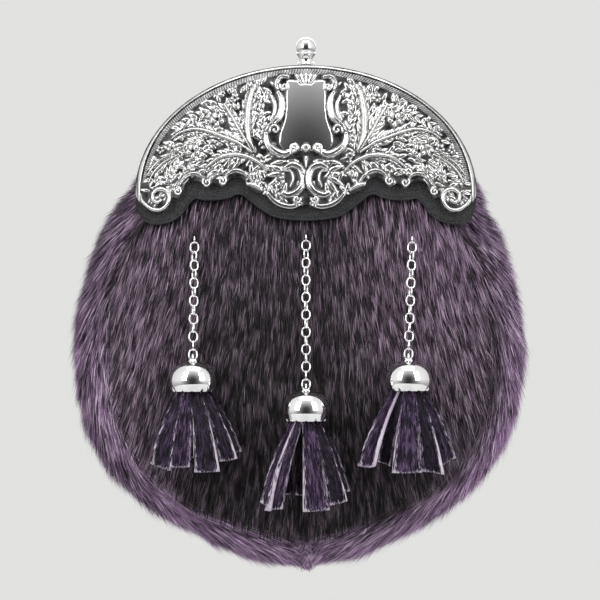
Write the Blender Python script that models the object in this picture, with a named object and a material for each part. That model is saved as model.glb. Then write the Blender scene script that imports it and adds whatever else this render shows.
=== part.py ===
"""A dress sporran: a fur pouch under a cast cantle, with three chains that carry tassels.

Metres, +Z up, the front towards -Y. The origin lies midway between the two strap loops on the
back, where the belt strap holds the pouch up.
"""
import math

import bmesh
import bpy
from mathutils import Matrix, Vector

# Walls and clearances
SEAM_GAP = 0.0003
LEATHER_WALL = 0.0022
FUR_WALL = 0.003
STRAP_ROOM = 0.006

# The height of the cantle's top over the strap, which all that hangs below is set from
CANTLE_TOP_Z = 0.035

# The bag
BAG_RADIUS = 0.0938
BAG_DROP = 0.1117
BAG_CENTRE_Z = CANTLE_TOP_Z - BAG_DROP
BAG_DEPTH = 0.046
SIDE_SWELL = 0.003
SIDE_FALL = 0.008
TOP_FALL = 0.014
BOTTOM_FALL = 0.004
BAG_INSET = 0.0026
PANEL_INSET = 0.009
TOP_FROM = math.radians(100)

# The cantle
CANTLE_HALF_WIDTH = 0.0724
CANTLE_ARC_HEIGHT = 0.0544
CANTLE_HEIGHT = 0.0643
CANTLE_PLATE = 0.0022
RIM_WIDTH = 0.0024
RIM_PROUD = 0.001
RIM_DEPTH = 0.010
RELIEF_BED = 0.0007
SCROLL_WIDTH = 0.0028
SCROLL_RISE = 0.0016
CARTOUCHE_RISE = 0.0018
LEATHER_DROP = 0.0682

# The finial knob
KNOB_BALL_RADIUS = 0.0042
KNOB_COLLAR_RADIUS = 0.0038
KNOB_NECK_RADIUS = 0.0022
KNOB_HEIGHT = 0.0116

# The chains
LINK_LENGTH = 0.0051
LINK_WIDTH = 0.0041
LINK_WIRE = 0.00076
LINK_BITE = 0.00016
CHAIN_STANDOFF = 0.003
CHAIN_PIN_RADIUS = 0.0007
CHAIN_PIN_LENGTH = 0.008
CHAIN_PIN_ROOM = 0.0007
CHAIN_SLIT_WIDTH = 0.0022
CHAIN_SLIT_ROOM = 0.0008

# The tassels
DOME_RADIUS = 0.0083
DOME_HEIGHT = 0.0118
DOME_WALL = 0.0009
DOME_REST = 0.0005
EYE_RADIUS = 0.0016
EYE_WIRE = 0.0009
EYE_SINK = 0.0006
STRIP_LENGTH = 0.0345
STRIP_THICKNESS = 0.0016
TASSEL_HEAD_HEIGHT = 0.005
TASSEL_BACK_FLARE = 0.0066
TASSEL_FRONT_FLARE = 0.0135

# The back
MOUTH_WIDTH = 0.092
MOUTH_HEIGHT = 0.026
MOUTH_TOP_Z = -0.030
FLAP_HALF_WIDTH = 0.055
FLAP_TOP_Z = -0.020
FLAP_STRAIGHT = 0.034
FLAP_POINT = 0.036
STUD_RADIUS = 0.006
STUD_HEIGHT = 0.0026
STUD_FROM_TIP = 0.014
LOOP_SPREAD = 0.040
LOOP_WIDTH = 0.018
LOOP_HEIGHT = 0.026
LOOP_FOOT = 0.006

# The outline of the bag: degrees from the lowest point, share of the bag's radius
BAG_OUTLINE = (
    (0, 1.053), (30, 1.021), (60, 1.048), (90, 0.995), (110, 0.972), (130, 0.982), (180, 0.982),
)

# The seam between the front panel and the border: degrees, share of the bag's radius
PANEL_OUTLINE = (
    (0, 0.880), (20, 0.862), (45, 0.880), (70, 0.851), (95, 0.813), (120, 0.850), (180, 0.850),
)

# The border's section: share of the way out from the seam, share of the way to the back
BORDER_SECTION = (
    (0.00, 0.00), (0.50, 0.08), (0.88, 0.28), (1.00, 0.60), (0.91, 1.00),
)

# The front panel from its middle, round its edge, to the middle of its inner face: share of
# the way to the seam, share of the wall
PANEL_SECTION = (
    (0.42, 0.0), (0.74, 0.0), (0.94, 0.0), (1.00, 0.4),
    (1.00, 1.0), (0.94, 1.0), (0.74, 1.0), (0.42, 1.0),
)

# The cantle's lower edge: share of its half width, share of its height below the top
CANTLE_EDGE = (
    (0.000, 0.889), (0.095, 0.941), (0.170, 0.925), (0.250, 0.850), (0.290, 0.797),
    (0.320, 0.806), (0.360, 0.752), (0.395, 0.729), (0.440, 0.757), (0.480, 0.781),
    (0.520, 0.766), (0.565, 0.788), (0.610, 0.758), (0.655, 0.742), (0.700, 0.786),
    (0.735, 0.850), (0.785, 0.950), (0.859, 1.000), (0.930, 0.975), (0.975, 0.920),
    (1.000, 0.880),
)

# The leather's lower edge: share of its half width, share of its drop below the cantle's top
LEATHER_EDGE = (
    (0.00, 0.985), (0.13, 0.958), (0.26, 0.890), (0.37, 0.803), (0.45, 0.826),
    (0.54, 0.836), (0.63, 0.828), (0.69, 0.858), (0.75, 0.925), (0.81, 0.975),
    (0.89, 1.000), (0.955, 0.980), (1.00, 0.900),
)

# The cartouche from its top to its foot: share of the cantle's height, share of its half width
CARTOUCHE_SECTIONS = (
    (0.085, 0.098), (0.120, 0.122), (0.240, 0.112), (0.340, 0.108), (0.400, 0.132),
    (0.450, 0.168), (0.490, 0.166), (0.530, 0.110), (0.555, 0.060),
)

# The scrolls of one side: across and down where each starts, swells to and ends, as shares of
# the cantle's half width and height, with the share of the scroll width that each has
SCROLLS = (
    ("top_curl", 0.060, 0.070, 0.150, 0.050, 0.200, 0.100, 0.8),
    ("upper_curl", 0.200, 0.120, 0.155, 0.270, 0.215, 0.400, 1.0),
    ("lower_curl", 0.170, 0.425, 0.250, 0.480, 0.120, 0.600, 1.1),
    ("shell_outer", 0.270, 0.640, 0.120, 0.660, 0.060, 0.760, 1.0),
    ("shell_inner", 0.030, 0.700, 0.090, 0.790, 0.050, 0.860, 0.9),
    ("side_sweep", 0.300, 0.590, 0.480, 0.580, 0.600, 0.660, 1.0),
    ("end_sweep", 0.640, 0.640, 0.800, 0.640, 0.900, 0.780, 1.0),
)

# The leaf sprays of one side: the same columns for where the stem starts, bends and ends, the
# count of leaf pairs and the length of the largest leaf as a share of the half width
SPRAYS = (
    ("crown_spray", 0.250, 0.420, 0.330, 0.240, 0.470, 0.130, 3, 0.120),
    ("thistle_spray", 0.290, 0.470, 0.420, 0.360, 0.600, 0.290, 3, 0.120),
    ("flower_spray", 0.300, 0.520, 0.500, 0.500, 0.720, 0.440, 4, 0.110),
    ("end_spray", 0.640, 0.600, 0.800, 0.560, 0.900, 0.520, 2, 0.100),
)

# The strips of a tassel: degrees from the front, lean as a share of the flare, degrees of
# twist, share of the length, and widths at the head and at the foot as shares of the length
STRIPS = (
    (0, 0.92, 14, 1.00, 0.100, 0.250),
    (42, 1.00, -16, 0.97, 0.100, 0.270),
    (84, 1.08, 18, 0.93, 0.100, 0.240),
    (128, 0.90, -8, 0.95, 0.100, 0.220),
    (180, 0.80, 0, 0.90, 0.100, 0.250),
    (232, 0.90, 8, 0.95, 0.100, 0.220),
    (276, 1.08, -18, 0.92, 0.100, 0.240),
    (318, 1.00, 16, 0.98, 0.100, 0.270),
)

# The three tassels: where the chain leaves the panel across and down, where the dome hangs
# across and down, as shares of the bag's radius, and how far the strips flare sideways
TASSELS = (
    ("left", -0.498, 0.403, -0.503, -0.135, 0.0165),
    ("middle", 0.000, 0.411, 0.000, -0.266, 0.0150),
    ("right", 0.474, 0.403, 0.455, -0.132, 0.0185),
)

ROUND_STEPS = 34
COLUMN_STEPS = 20
LOCK_COUNT = 18
LINK_SIDES = 10
WIRE_SIDES = 5
DOME_SIDES = 12


def read_row(rows, place, column=1):
    """The value at a place along a table, on a curve that never swings past its rows."""
    place = min(max(place, rows[0][0]), rows[-1][0])
    index = 0
    while index < len(rows) - 2 and place > rows[index + 1][0]:
        index += 1
    slopes = [(b[column] - a[column]) / (b[0] - a[0]) for a, b in zip(rows, rows[1:])]

    def tangent(at):
        if at == 0 or at == len(rows) - 1 or slopes[at - 1] * slopes[at] <= 0:
            return 0.0
        return 2 * slopes[at - 1] * slopes[at] / (slopes[at - 1] + slopes[at])

    low, high = rows[index], rows[index + 1]
    span = high[0] - low[0]
    t = (place - low[0]) / span
    return ((2 * t ** 3 - 3 * t ** 2 + 1) * low[column] + (3 * t ** 2 - 2 * t ** 3) * high[column]
            + (t ** 3 - 2 * t ** 2 + t) * span * tangent(index)
            + (t ** 3 - t ** 2) * span * tangent(index + 1))


def material(name, colour, roughness, metallic=0.0):
    """A Principled material of one colour."""
    made = bpy.data.materials.new(name)
    made.use_nodes = True
    shader = made.node_tree.nodes["Principled BSDF"]
    shader.inputs["Base Color"].default_value = (*colour, 1.0)
    shader.inputs["Roughness"].default_value = roughness
    shader.inputs["Metallic"].default_value = metallic
    return made


def add_object(name, mesh, finish=None):
    """Link a mesh to the scene as a named object with one material."""
    made = bpy.data.objects.new(name, mesh)
    bpy.context.collection.objects.link(made)
    if finish:
        mesh.materials.append(finish)
    return made


def mesh_from(bm, name):
    """Turn a bmesh into a mesh whose faces point out."""
    bmesh.ops.recalc_face_normals(bm, faces=bm.faces)
    mesh = bpy.data.meshes.new(name)
    bm.to_mesh(mesh)
    bm.free()
    return mesh


def smooth(made, angle=35):
    """Shade a round piece smooth, with its sharp edges kept."""
    made.data.shade_smooth()
    made.data.set_sharp_from_angle(angle=math.radians(angle))


def as_cutter(bm, name):
    """A hidden wire object that a Boolean reads."""
    made = add_object(name, mesh_from(bm, name))
    made.hide_render = True
    made.display_type = "WIRE"
    return made


def boolean(target, cutter, operation, self_crossing=False):
    """Add an exact Boolean modifier."""
    modifier = target.modifiers.new(operation.lower(), "BOOLEAN")
    modifier.operation = operation
    modifier.solver = "EXACT"
    modifier.use_self = self_crossing
    modifier.object = cutter


def bridge_rings(bm, rings, closed_path, caps=True):
    """Join rings of vertices with quads; an open path may get a face over each end."""
    pairs = list(zip(rings, rings[1:]))
    if closed_path:
        pairs.append((rings[-1], rings[0]))
    for ring, following in pairs:
        for i in range(len(ring)):
            j = (i + 1) % len(ring)
            bm.faces.new((ring[i], ring[j], following[j], following[i]))
    if caps and not closed_path:
        bm.faces.new(rings[0])
        bm.faces.new(reversed(rings[-1]))


def add_turned(bm, profile, steps, centre):
    """Turn a profile of radius and height pairs round the vertical through a centre."""
    rings = []
    for radius, height in profile:
        rings.append([bm.verts.new(centre + Vector((
            radius * math.cos(2 * math.pi * k / steps),
            radius * math.sin(2 * math.pi * k / steps), height))) for k in range(steps)])
    bridge_rings(bm, rings, False)


def add_wire_ring(bm, points, normal, wire_radius, sides):
    """A closed round wire through points in one plane, a corner of its section facing in."""
    centre = sum(points, Vector()) / len(points)
    rings = []
    for i, point in enumerate(points):
        along = (points[(i + 1) % len(points)] - points[i - 1]).normalized()
        outward = along.cross(normal)
        if outward.dot(point - centre) < 0:
            outward = -outward
        rings.append([bm.verts.new(point + wire_radius * (
            -outward * math.cos(2 * math.pi * k / sides)
            + normal * math.sin(2 * math.pi * k / sides))) for k in range(sides)])
    bridge_rings(bm, rings, True)


def belly(x, z):
    """The depth of the bag's front surface behind or before the origin."""
    above = CANTLE_TOP_Z - BAG_CENTRE_Z
    fall = SIDE_FALL * (x / BAG_RADIUS) ** 2
    if z > BAG_CENTRE_Z:
        fall += TOP_FALL * ((z - BAG_CENTRE_Z) / above) ** 2
    else:
        fall += BOTTOM_FALL * ((z - BAG_CENTRE_Z) / BAG_RADIUS) ** 2
    return -STRAP_ROOM / 2 - BAG_DEPTH + fall


def arc_radius(angle, inset):
    """The distance from the bag's middle to the cantle's arc, along an angle."""
    if angle < TOP_FROM:
        return 0.0
    half_width = CANTLE_HALF_WIDTH - inset
    height = CANTLE_ARC_HEIGHT - inset
    across = math.sin(angle) / half_width
    up = -math.cos(angle) / height
    drop = (CANTLE_TOP_Z - CANTLE_ARC_HEIGHT - BAG_CENTRE_Z) / height
    a = across ** 2 + up ** 2
    b = -2 * up * drop
    c = drop ** 2 - 1
    inside = b * b - 4 * a * c
    return (-b + math.sqrt(inside)) / (2 * a) if inside > 0 else 0.0


def outline_point(rows, arc_inset, angle):
    """A point of an outline: from its table, or from the cantle's arc where that is wider."""
    turned = abs(math.atan2(math.sin(angle), math.cos(angle)))
    radius = read_row(rows, math.degrees(turned)) * BAG_RADIUS
    radius -= SIDE_SWELL * math.sin(angle)
    radius = max(radius, arc_radius(turned, arc_inset))
    return Vector((math.sin(angle) * radius, 0, BAG_CENTRE_Z - math.cos(angle) * radius))


def bag_point(angle):
    """A point of the bag's widest outline."""
    return outline_point(BAG_OUTLINE, BAG_INSET, angle)


def seam_point(angle):
    """A point of the seam between the front panel and the border."""
    return outline_point(PANEL_OUTLINE, PANEL_INSET, angle)


def border_rows(angle):
    """The border's outer line at one angle, from the seam to its back edge."""
    seam, widest = seam_point(angle), bag_point(angle)
    start = belly(seam.x, seam.z) + FUR_WALL + SEAM_GAP
    end = -STRAP_ROOM / 2 - LEATHER_WALL - SEAM_GAP
    rows = []
    for out, back in BORDER_SECTION:
        point = seam.lerp(widest, out)
        point.y = start + (end - start) * back
        rows.append(point)
    return rows


def border_walls(angle):
    """The border's closed section at one angle: its outer line, then its inner line back."""
    outer = border_rows(angle)
    inward = -Vector((math.sin(angle), 0, -math.cos(angle)))
    inner = []
    for i, point in enumerate(outer):
        if i in (0, len(outer) - 1):
            normal = inward
        else:
            along = (outer[i + 1] - outer[i - 1]).normalized()
            normal = (inward - along * inward.dot(along)).normalized()
        inner.append(point + normal * FUR_WALL)
    return outer + inner[::-1]


def add_lock(bm, root, tip, outward, width, thickness):
    """A flat pointed lock of fur with its root inside the wall."""
    along = (tip - root).normalized()
    side = along.cross(outward).normalized() * width / 2
    lift = outward * thickness
    base = [bm.verts.new(root + offset) for offset in (side, side * 0.7 + lift * 1.6,
                                                       -side * 0.7 + lift * 1.6, -side)]
    base.append(bm.verts.new(root - lift * 0.4))
    end = bm.verts.new(tip)
    bm.faces.new(base)
    for i in range(len(base)):
        bm.faces.new((base[i], end, base[(i + 1) % len(base)]))


def border_locks():
    """Two staggered rows of locks that sweep down round the border."""
    bm = bmesh.new()
    for row, (start_row, end_row) in enumerate(((1, 2), (2, 3))):
        for k in range(LOCK_COUNT):
            angle = 2 * math.pi * (k + 0.3 + row / 2) / LOCK_COUNT
            turned = math.atan2(math.sin(angle), math.cos(angle))
            if abs(turned) > TOP_FROM * 1.22:
                continue
            sweep = -math.copysign(math.pi / LOCK_COUNT * 1.1, turned) * min(1.0, abs(turned) * 2)
            first, last = border_rows(angle), border_rows(angle + sweep)
            radial = Vector((math.sin(angle), 0, -math.cos(angle)))
            along = (first[start_row + 1] - first[start_row - 1]).normalized()
            outward = (radial - along * radial.dot(along)).normalized()
            root = first[start_row] - outward * FUR_WALL * 0.35
            tip = last[end_row] + outward * FUR_WALL * 0.55
            width = BAG_RADIUS * 0.17
            add_lock(bm, root, tip, outward, width, FUR_WALL * 0.3)
    return bm


def build_border(fur):
    """The fur border that runs from the front panel back to the leather."""
    bm = bmesh.new()
    rings = []
    for k in range(ROUND_STEPS):
        section = border_walls(2 * math.pi * k / ROUND_STEPS)
        rings.append([bm.verts.new(point) for point in section])
    bridge_rings(bm, rings, True)
    border = add_object("fur_border", mesh_from(bm, "fur_border"), fur)
    boolean(border, as_cutter(border_locks(), "border_locks"), "UNION", self_crossing=True)
    smooth(border)


def slit_places():
    """Where each chain goes through the front panel."""
    return [Vector((across * BAG_RADIUS, 0, BAG_CENTRE_Z + up * BAG_RADIUS))
            for _, across, up, *_ in TASSELS]


def build_panel(fur):
    """The crowned front panel, with a slit for each chain."""
    bm = bmesh.new()
    rings = []
    for share, depth in PANEL_SECTION:
        ring = []
        for k in range(ROUND_STEPS):
            point = seam_point(2 * math.pi * k / ROUND_STEPS)
            point = Vector((point.x * share, 0, BAG_CENTRE_Z + (point.z - BAG_CENTRE_Z) * share))
            point.y = belly(point.x, point.z) + FUR_WALL * depth
            ring.append(bm.verts.new(point))
        rings.append(ring)
    for ring, following in zip(rings, rings[1:]):
        for i in range(ROUND_STEPS):
            j = (i + 1) % ROUND_STEPS
            bm.faces.new((ring[i], ring[j], following[j], following[i]))
    for ring, depth in ((rings[0], 0.0), (rings[-1], 1.0)):
        middle = bm.verts.new((0, belly(0, BAG_CENTRE_Z) + FUR_WALL * depth, BAG_CENTRE_Z))
        for i in range(ROUND_STEPS):
            bm.faces.new((ring[i], ring[(i + 1) % ROUND_STEPS], middle))
    panel = add_object("front_panel", mesh_from(bm, "front_panel"), fur)

    slits = bmesh.new()
    height = LINK_WIDTH + 2 * CHAIN_SLIT_ROOM
    for place in slit_places():
        centre = Vector((place.x, belly(place.x, place.z) + FUR_WALL / 2, place.z))
        size = Matrix.Diagonal((CHAIN_SLIT_WIDTH, FUR_WALL * 3, height, 1))
        bmesh.ops.create_cube(slits, size=1, matrix=Matrix.Translation(centre) @ size)
    boolean(panel, as_cutter(slits, "chain_slits"), "DIFFERENCE")
    smooth(panel)


def edge_height(rows, drop, share):
    """The height of a lower edge at a share of its half width."""
    return CANTLE_TOP_Z - drop * read_row(rows, abs(share))


def arc_point(angle, inset):
    """A point of the cantle's arc, at an angle from its top, as across and up."""
    return ((CANTLE_HALF_WIDTH - inset) * math.sin(angle),
            CANTLE_TOP_Z - CANTLE_ARC_HEIGHT + (CANTLE_ARC_HEIGHT - inset) * math.cos(angle))


def build_cantle_leather(leather):
    """The scalloped leather between the cantle and the fur, curved as the belly is."""
    inset = RIM_WIDTH + SEAM_GAP
    levels = 2
    bm = bmesh.new()
    rings = []
    for k in range(-COLUMN_STEPS, COLUMN_STEPS + 1):
        angle = math.pi / 2 * k / COLUMN_STEPS
        x, top = arc_point(angle, inset)
        foot = edge_height(LEATHER_EDGE, LEATHER_DROP, math.sin(angle))
        ring = []
        for offset, order in ((SEAM_GAP + LEATHER_WALL, range(levels + 1)),
                              (SEAM_GAP, range(levels, -1, -1))):
            for level in order:
                z = foot + (top - foot) * level / levels
                ring.append(bm.verts.new((x, belly(x, z) - offset, z)))
        rings.append(ring)
    bridge_rings(bm, rings, False, caps=False)
    for end in (rings[0], rings[-1]):
        for level in range(levels):
            other = 2 * levels + 1 - level
            bm.faces.new((end[level], end[level + 1], end[other - 1], end[other]))
    smooth(add_object("cantle_leather", mesh_from(bm, "cantle_leather"), leather))


def plate_back():
    """How far the cantle's back lies before the belly."""
    return LEATHER_WALL + 2 * SEAM_GAP


def on_cantle(x, z, lift):
    """A point over the cantle's front face."""
    return Vector((x, belly(x, z) - plate_back() - CANTLE_PLATE - lift, z))


def on_cantle_share(across, down, side, lift=0.0):
    """The same from shares of the cantle's half width and height."""
    return on_cantle(side * across * CANTLE_HALF_WIDTH, CANTLE_TOP_Z - down * CANTLE_HEIGHT, lift)


def bend_curve(start, middle, end, steps):
    """Points on a curve that passes through three given points."""
    pull = middle * 2 - (start + end) / 2
    return [start * (1 - t) ** 2 + pull * 2 * t * (1 - t) + end * t ** 2
            for t in (k / steps for k in range(steps + 1))]


def add_ridge(bm, points, width, rise, taper=0.35):
    """A raised ridge along points on the cantle's face, narrower at both ends."""
    rings = []
    for i, point in enumerate(points):
        along = points[min(i + 1, len(points) - 1)] - points[max(i - 1, 0)]
        along = Vector((along.x, 0, along.z)).normalized()
        side = Vector((-along.z, 0, along.x))
        swell = taper + (1 - taper) * math.sin(math.pi * i / (len(points) - 1))
        ring = []
        for across, lift in ((-0.5, -RELIEF_BED), (0, rise * swell), (0.5, -RELIEF_BED)):
            place = point + side * across * width * swell
            ring.append(bm.verts.new(on_cantle(place.x, place.z, lift)))
        rings.append(ring)
    bridge_rings(bm, rings, False)


def add_leaf(bm, root, heading, length, width, rise):
    """A pointed leaf with a raised midrib."""
    side = Vector((-heading.z, 0, heading.x))

    def place(along, across, lift):
        point = root + heading * along * length + side * across * width
        return bm.verts.new(on_cantle(point.x, point.z, lift))

    foot, left, tip, right = (place(0, 0, -RELIEF_BED), place(0.45, 0.5, -RELIEF_BED),
                              place(1, 0, -RELIEF_BED), place(0.45, -0.5, -RELIEF_BED))
    high = place(0.5, 0, rise)
    for corners in ((foot, right, high), (right, tip, high), (tip, left, high),
                    (left, foot, high), (foot, left, right), (left, tip, right)):
        bm.faces.new(corners)


def add_boss(bm, x, z, radius, rise, sides=6):
    """A low round boss."""
    rings = []
    for share, lift in ((1.0, -RELIEF_BED), (0.7, rise)):
        rings.append([bm.verts.new(on_cantle(
            x + radius * share * math.cos(2 * math.pi * k / sides),
            z + radius * share * math.sin(2 * math.pi * k / sides), lift)) for k in range(sides)])
    bridge_rings(bm, rings, False)


def add_spray(bm, row, side):
    """A curved stem with pairs of leaves and a thistle head at its tip."""
    _, x0, z0, x1, z1, x2, z2, pairs, size = row
    start, middle, end = (on_cantle_share(x0, z0, side), on_cantle_share(x1, z1, side),
                          on_cantle_share(x2, z2, side))
    stem = bend_curve(start, middle, end, 3)
    add_ridge(bm, stem, SCROLL_WIDTH * 0.6, SCROLL_RISE * 0.7)
    spots = bend_curve(start, middle, end, pairs + 1)
    for k in range(1, pairs + 1):
        along = (spots[k + 1] - spots[k - 1]).normalized()
        for turn in (-1, 1):
            heading = Matrix.Rotation(turn * math.radians(42), 3, "Y") @ along
            heading = Vector((heading.x, 0, heading.z)).normalized()
            length = size * CANTLE_HALF_WIDTH * (1.1 - 0.1 * k)
            add_leaf(bm, spots[k], heading, length, length * 0.42, SCROLL_RISE * 0.75)
    add_boss(bm, end.x, end.z, SCROLL_WIDTH * 0.8, SCROLL_RISE * 1.3)


def add_cartouche(bm):
    """The plain raised shield in the middle of the cantle."""
    rings = []
    for down, half in CARTOUCHE_SECTIONS:
        ring = []
        for share, lift in ((-1.0, -RELIEF_BED), (-0.8, CARTOUCHE_RISE), (0.0, CARTOUCHE_RISE * 1.2),
                            (0.8, CARTOUCHE_RISE), (1.0, -RELIEF_BED)):
            ring.append(bm.verts.new(on_cantle_share(share * half, down, 1, lift)))
        rings.append(ring)
    bridge_rings(bm, rings, False)


def add_end_spiral(bm, side):
    """The spiral in the lobe at one end of the cantle."""
    radius = CANTLE_HALF_WIDTH * 0.088
    points = []
    for k in range(10):
        turn = math.radians(200 + 45 * k)
        reach = radius * (1 - 0.075 * k)
        x = side * (CANTLE_HALF_WIDTH * 0.855 + reach * math.cos(turn))
        z = CANTLE_TOP_Z - CANTLE_HEIGHT * 0.868 + reach * math.sin(turn)
        points.append(on_cantle(x, z, 0))
    add_ridge(bm, points, SCROLL_WIDTH * 0.75, SCROLL_RISE)


def cantle_relief():
    """The cartouche, scrolls, sprays and spirals that are raised on the cantle's face."""
    bm = bmesh.new()
    add_cartouche(bm)
    for side in (-1, 1):
        for _, x0, z0, x1, z1, x2, z2, share in SCROLLS:
            curve = bend_curve(on_cantle_share(x0, z0, side), on_cantle_share(x1, z1, side),
                               on_cantle_share(x2, z2, side), 4)
            add_ridge(bm, curve, SCROLL_WIDTH * share, SCROLL_RISE * share)
        for row in SPRAYS:
            add_spray(bm, row, side)
        add_end_spiral(bm, side)
    return bm


def cantle_section(angle):
    """One column of the cantle: up its face over edge scroll and rim, and down its back."""
    x, top = arc_point(angle, RIM_WIDTH)
    foot = edge_height(CANTLE_EDGE, CANTLE_HEIGHT, x / CANTLE_HALF_WIDTH)
    scroll = min(SCROLL_WIDTH, (top - foot) * 0.7)
    rise = SCROLL_RISE * scroll / SCROLL_WIDTH
    middle = (foot + scroll + top) / 2
    points = [on_cantle(x, foot, 0), on_cantle(x, foot + scroll / 2, rise),
              on_cantle(x, foot + scroll, 0), on_cantle(x, middle, 0), on_cantle(x, top, 0)]
    for part, lift in ((0.5, RIM_PROUD), (0.0, 0), (0.0, -RIM_DEPTH), (1.0, -RIM_DEPTH)):
        rim_x, rim_z = arc_point(angle, RIM_WIDTH * part)
        points.append(on_cantle(rim_x, rim_z, lift))
    for z in (top, middle, foot):
        points.append(on_cantle(x, z, -CANTLE_PLATE))
    return points


def build_cantle(chrome):
    """The cast cantle: a curved plate with a deep rim and all its relief in one piece."""
    bm = bmesh.new()
    rings = [[bm.verts.new(point) for point in cantle_section(math.pi / 2 * k / COLUMN_STEPS)]
             for k in range(-COLUMN_STEPS, COLUMN_STEPS + 1)]
    bridge_rings(bm, rings, False, caps=False)
    for end in (rings[0], rings[-1]):
        bm.faces.new(end[:5] + end[-3:])
        bm.faces.new(end[4:-2])
    cantle = add_object("cantle", mesh_from(bm, "cantle"), chrome)
    boolean(cantle, as_cutter(cantle_relief(), "cantle_relief"), "UNION", self_crossing=True)


def build_knob(chrome):
    """The ball finial that stands on the cantle's rim."""
    ball_z = KNOB_HEIGHT - KNOB_BALL_RADIUS
    neck_z = ball_z - KNOB_BALL_RADIUS * 0.82
    profile = [(KNOB_COLLAR_RADIUS, 0), (KNOB_COLLAR_RADIUS, neck_z * 0.25),
               (KNOB_COLLAR_RADIUS * 0.7, neck_z * 0.5), (KNOB_NECK_RADIUS, neck_z * 0.75)]
    for k in range(6):
        turn = math.radians(-56 + 27 * k)
        profile.append((KNOB_BALL_RADIUS * math.cos(turn),
                        ball_z + KNOB_BALL_RADIUS * math.sin(turn)))
    depth = belly(0, CANTLE_TOP_Z) - plate_back() - CANTLE_PLATE + RIM_DEPTH / 2
    bm = bmesh.new()
    add_turned(bm, profile, 12, Vector((0, depth, CANTLE_TOP_Z + SEAM_GAP)))
    smooth(add_object("finial_knob", mesh_from(bm, "finial_knob"), chrome))


def link_points(centre, along, across, length, width):
    """The middle line of one long round link, with a flat at each end."""
    radius = (width - LINK_WIRE) / 2
    straight = (length - LINK_WIRE) / 2 - radius * math.cos(math.pi / LINK_SIDES)
    points = []
    for k in range(LINK_SIDES):
        turn = 2 * math.pi * (k + 0.5) / LINK_SIDES
        reach = math.cos(turn)
        shift = math.copysign(straight, reach) if abs(reach) > 0.01 else 0.0
        points.append(centre + along * (shift + radius * reach) + across * radius * math.sin(turn))
    return points


def add_link(bm, centre, along, across, length, width=LINK_WIDTH):
    """One closed link of round wire."""
    points = link_points(centre, along, across, length, width)
    add_wire_ring(bm, points, along.cross(across).normalized(), LINK_WIRE / 2, WIRE_SIDES)


def dome_top(row):
    """The top of a tassel's dome, resting before the fur."""
    _, _, _, across, up, _ = row
    x, z = across * BAG_RADIUS, BAG_CENTRE_Z + up * BAG_RADIUS
    return Vector((x, belly(x, z - DOME_HEIGHT) - DOME_REST - DOME_RADIUS, z))


def chain_ends(row):
    """Where a chain's wire turns at its top and at its foot."""
    _, across, up, *_ = row
    x, z = across * BAG_RADIUS, BAG_CENTRE_Z + up * BAG_RADIUS
    top = Vector((x, belly(x, z) - CHAIN_STANDOFF, z - (LINK_WIDTH - LINK_WIRE) / 2))
    foot = dome_top(row) + Vector((0, 0, 2 * EYE_RADIUS - EYE_SINK - SEAM_GAP))
    foot.z -= (LINK_WIRE + EYE_WIRE) / 2
    return top, foot


def build_chain(row, chrome):
    """A chain from its pin behind the panel to the eye on its dome, fused into one body."""
    top, foot = chain_ends(row)
    top_wire = top + Vector((0, 0, LINK_WIRE - LINK_BITE))
    line = foot - top_wire
    down = line.normalized()
    nominal = LINK_LENGTH - 2 * LINK_WIRE + LINK_BITE
    reach = line.length + LINK_WIRE - LINK_BITE
    count = 2 * round((reach / nominal - 1) / 2) + 1
    pitch = reach / count
    length = pitch + 2 * LINK_WIRE - LINK_BITE
    face_on = Vector((1, 0, 0))
    edge_on = down.cross(face_on).normalized()
    odd, even = bmesh.new(), bmesh.new()
    for k in range(count):
        centre = top_wire + down * ((length - LINK_WIRE) / 2 + pitch * k)
        across = face_on if k % 2 == 0 else edge_on
        add_link(odd if k % 2 == 0 else even, centre, down, across, length)

    back = Vector((top.x, belly(top.x, top.z) + FUR_WALL + CHAIN_PIN_ROOM, top.z))
    pin_y = back.y + CHAIN_PIN_RADIUS
    loop_back = pin_y + CHAIN_PIN_RADIUS + LINK_WIRE - LINK_BITE
    loop_front = top.y - LINK_WIDTH / 2 + LINK_WIRE / 2
    middle = Vector((top.x, (loop_back + loop_front) / 2, top.z + (LINK_WIDTH - LINK_WIRE) / 2))
    add_link(even, middle, Vector((0, 1, 0)), Vector((0, 0, 1)), loop_back - loop_front)
    pin = Matrix.Translation(Vector((top.x, pin_y, middle.z))) @ Matrix.Rotation(math.pi / 2, 4, "Y")
    bmesh.ops.create_cone(odd, cap_ends=True, segments=8, radius1=CHAIN_PIN_RADIUS,
                          radius2=CHAIN_PIN_RADIUS, depth=CHAIN_PIN_LENGTH, matrix=pin)
    name = "chain_" + row[0]
    chain = add_object(name, mesh_from(odd, name), chrome)
    boolean(chain, as_cutter(even, name + "_even"), "UNION")
    smooth(chain)


def dome_profile():
    """The dome's section from its lip, over its top and back inside."""
    outer = []
    for turn in (-32, -10, 14, 42, 70):
        angle = math.radians(turn)
        outer.append((DOME_RADIUS * math.cos(angle), math.sin(angle)))
    low, high = outer[0][1], 1.0
    outer = [(r, DOME_HEIGHT * (h - low) / (high - low)) for r, h in outer]
    inner = [(r - DOME_WALL, h - DOME_WALL * h / DOME_HEIGHT * 1.1) for r, h in outer[:-1]]
    return outer, inner


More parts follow.
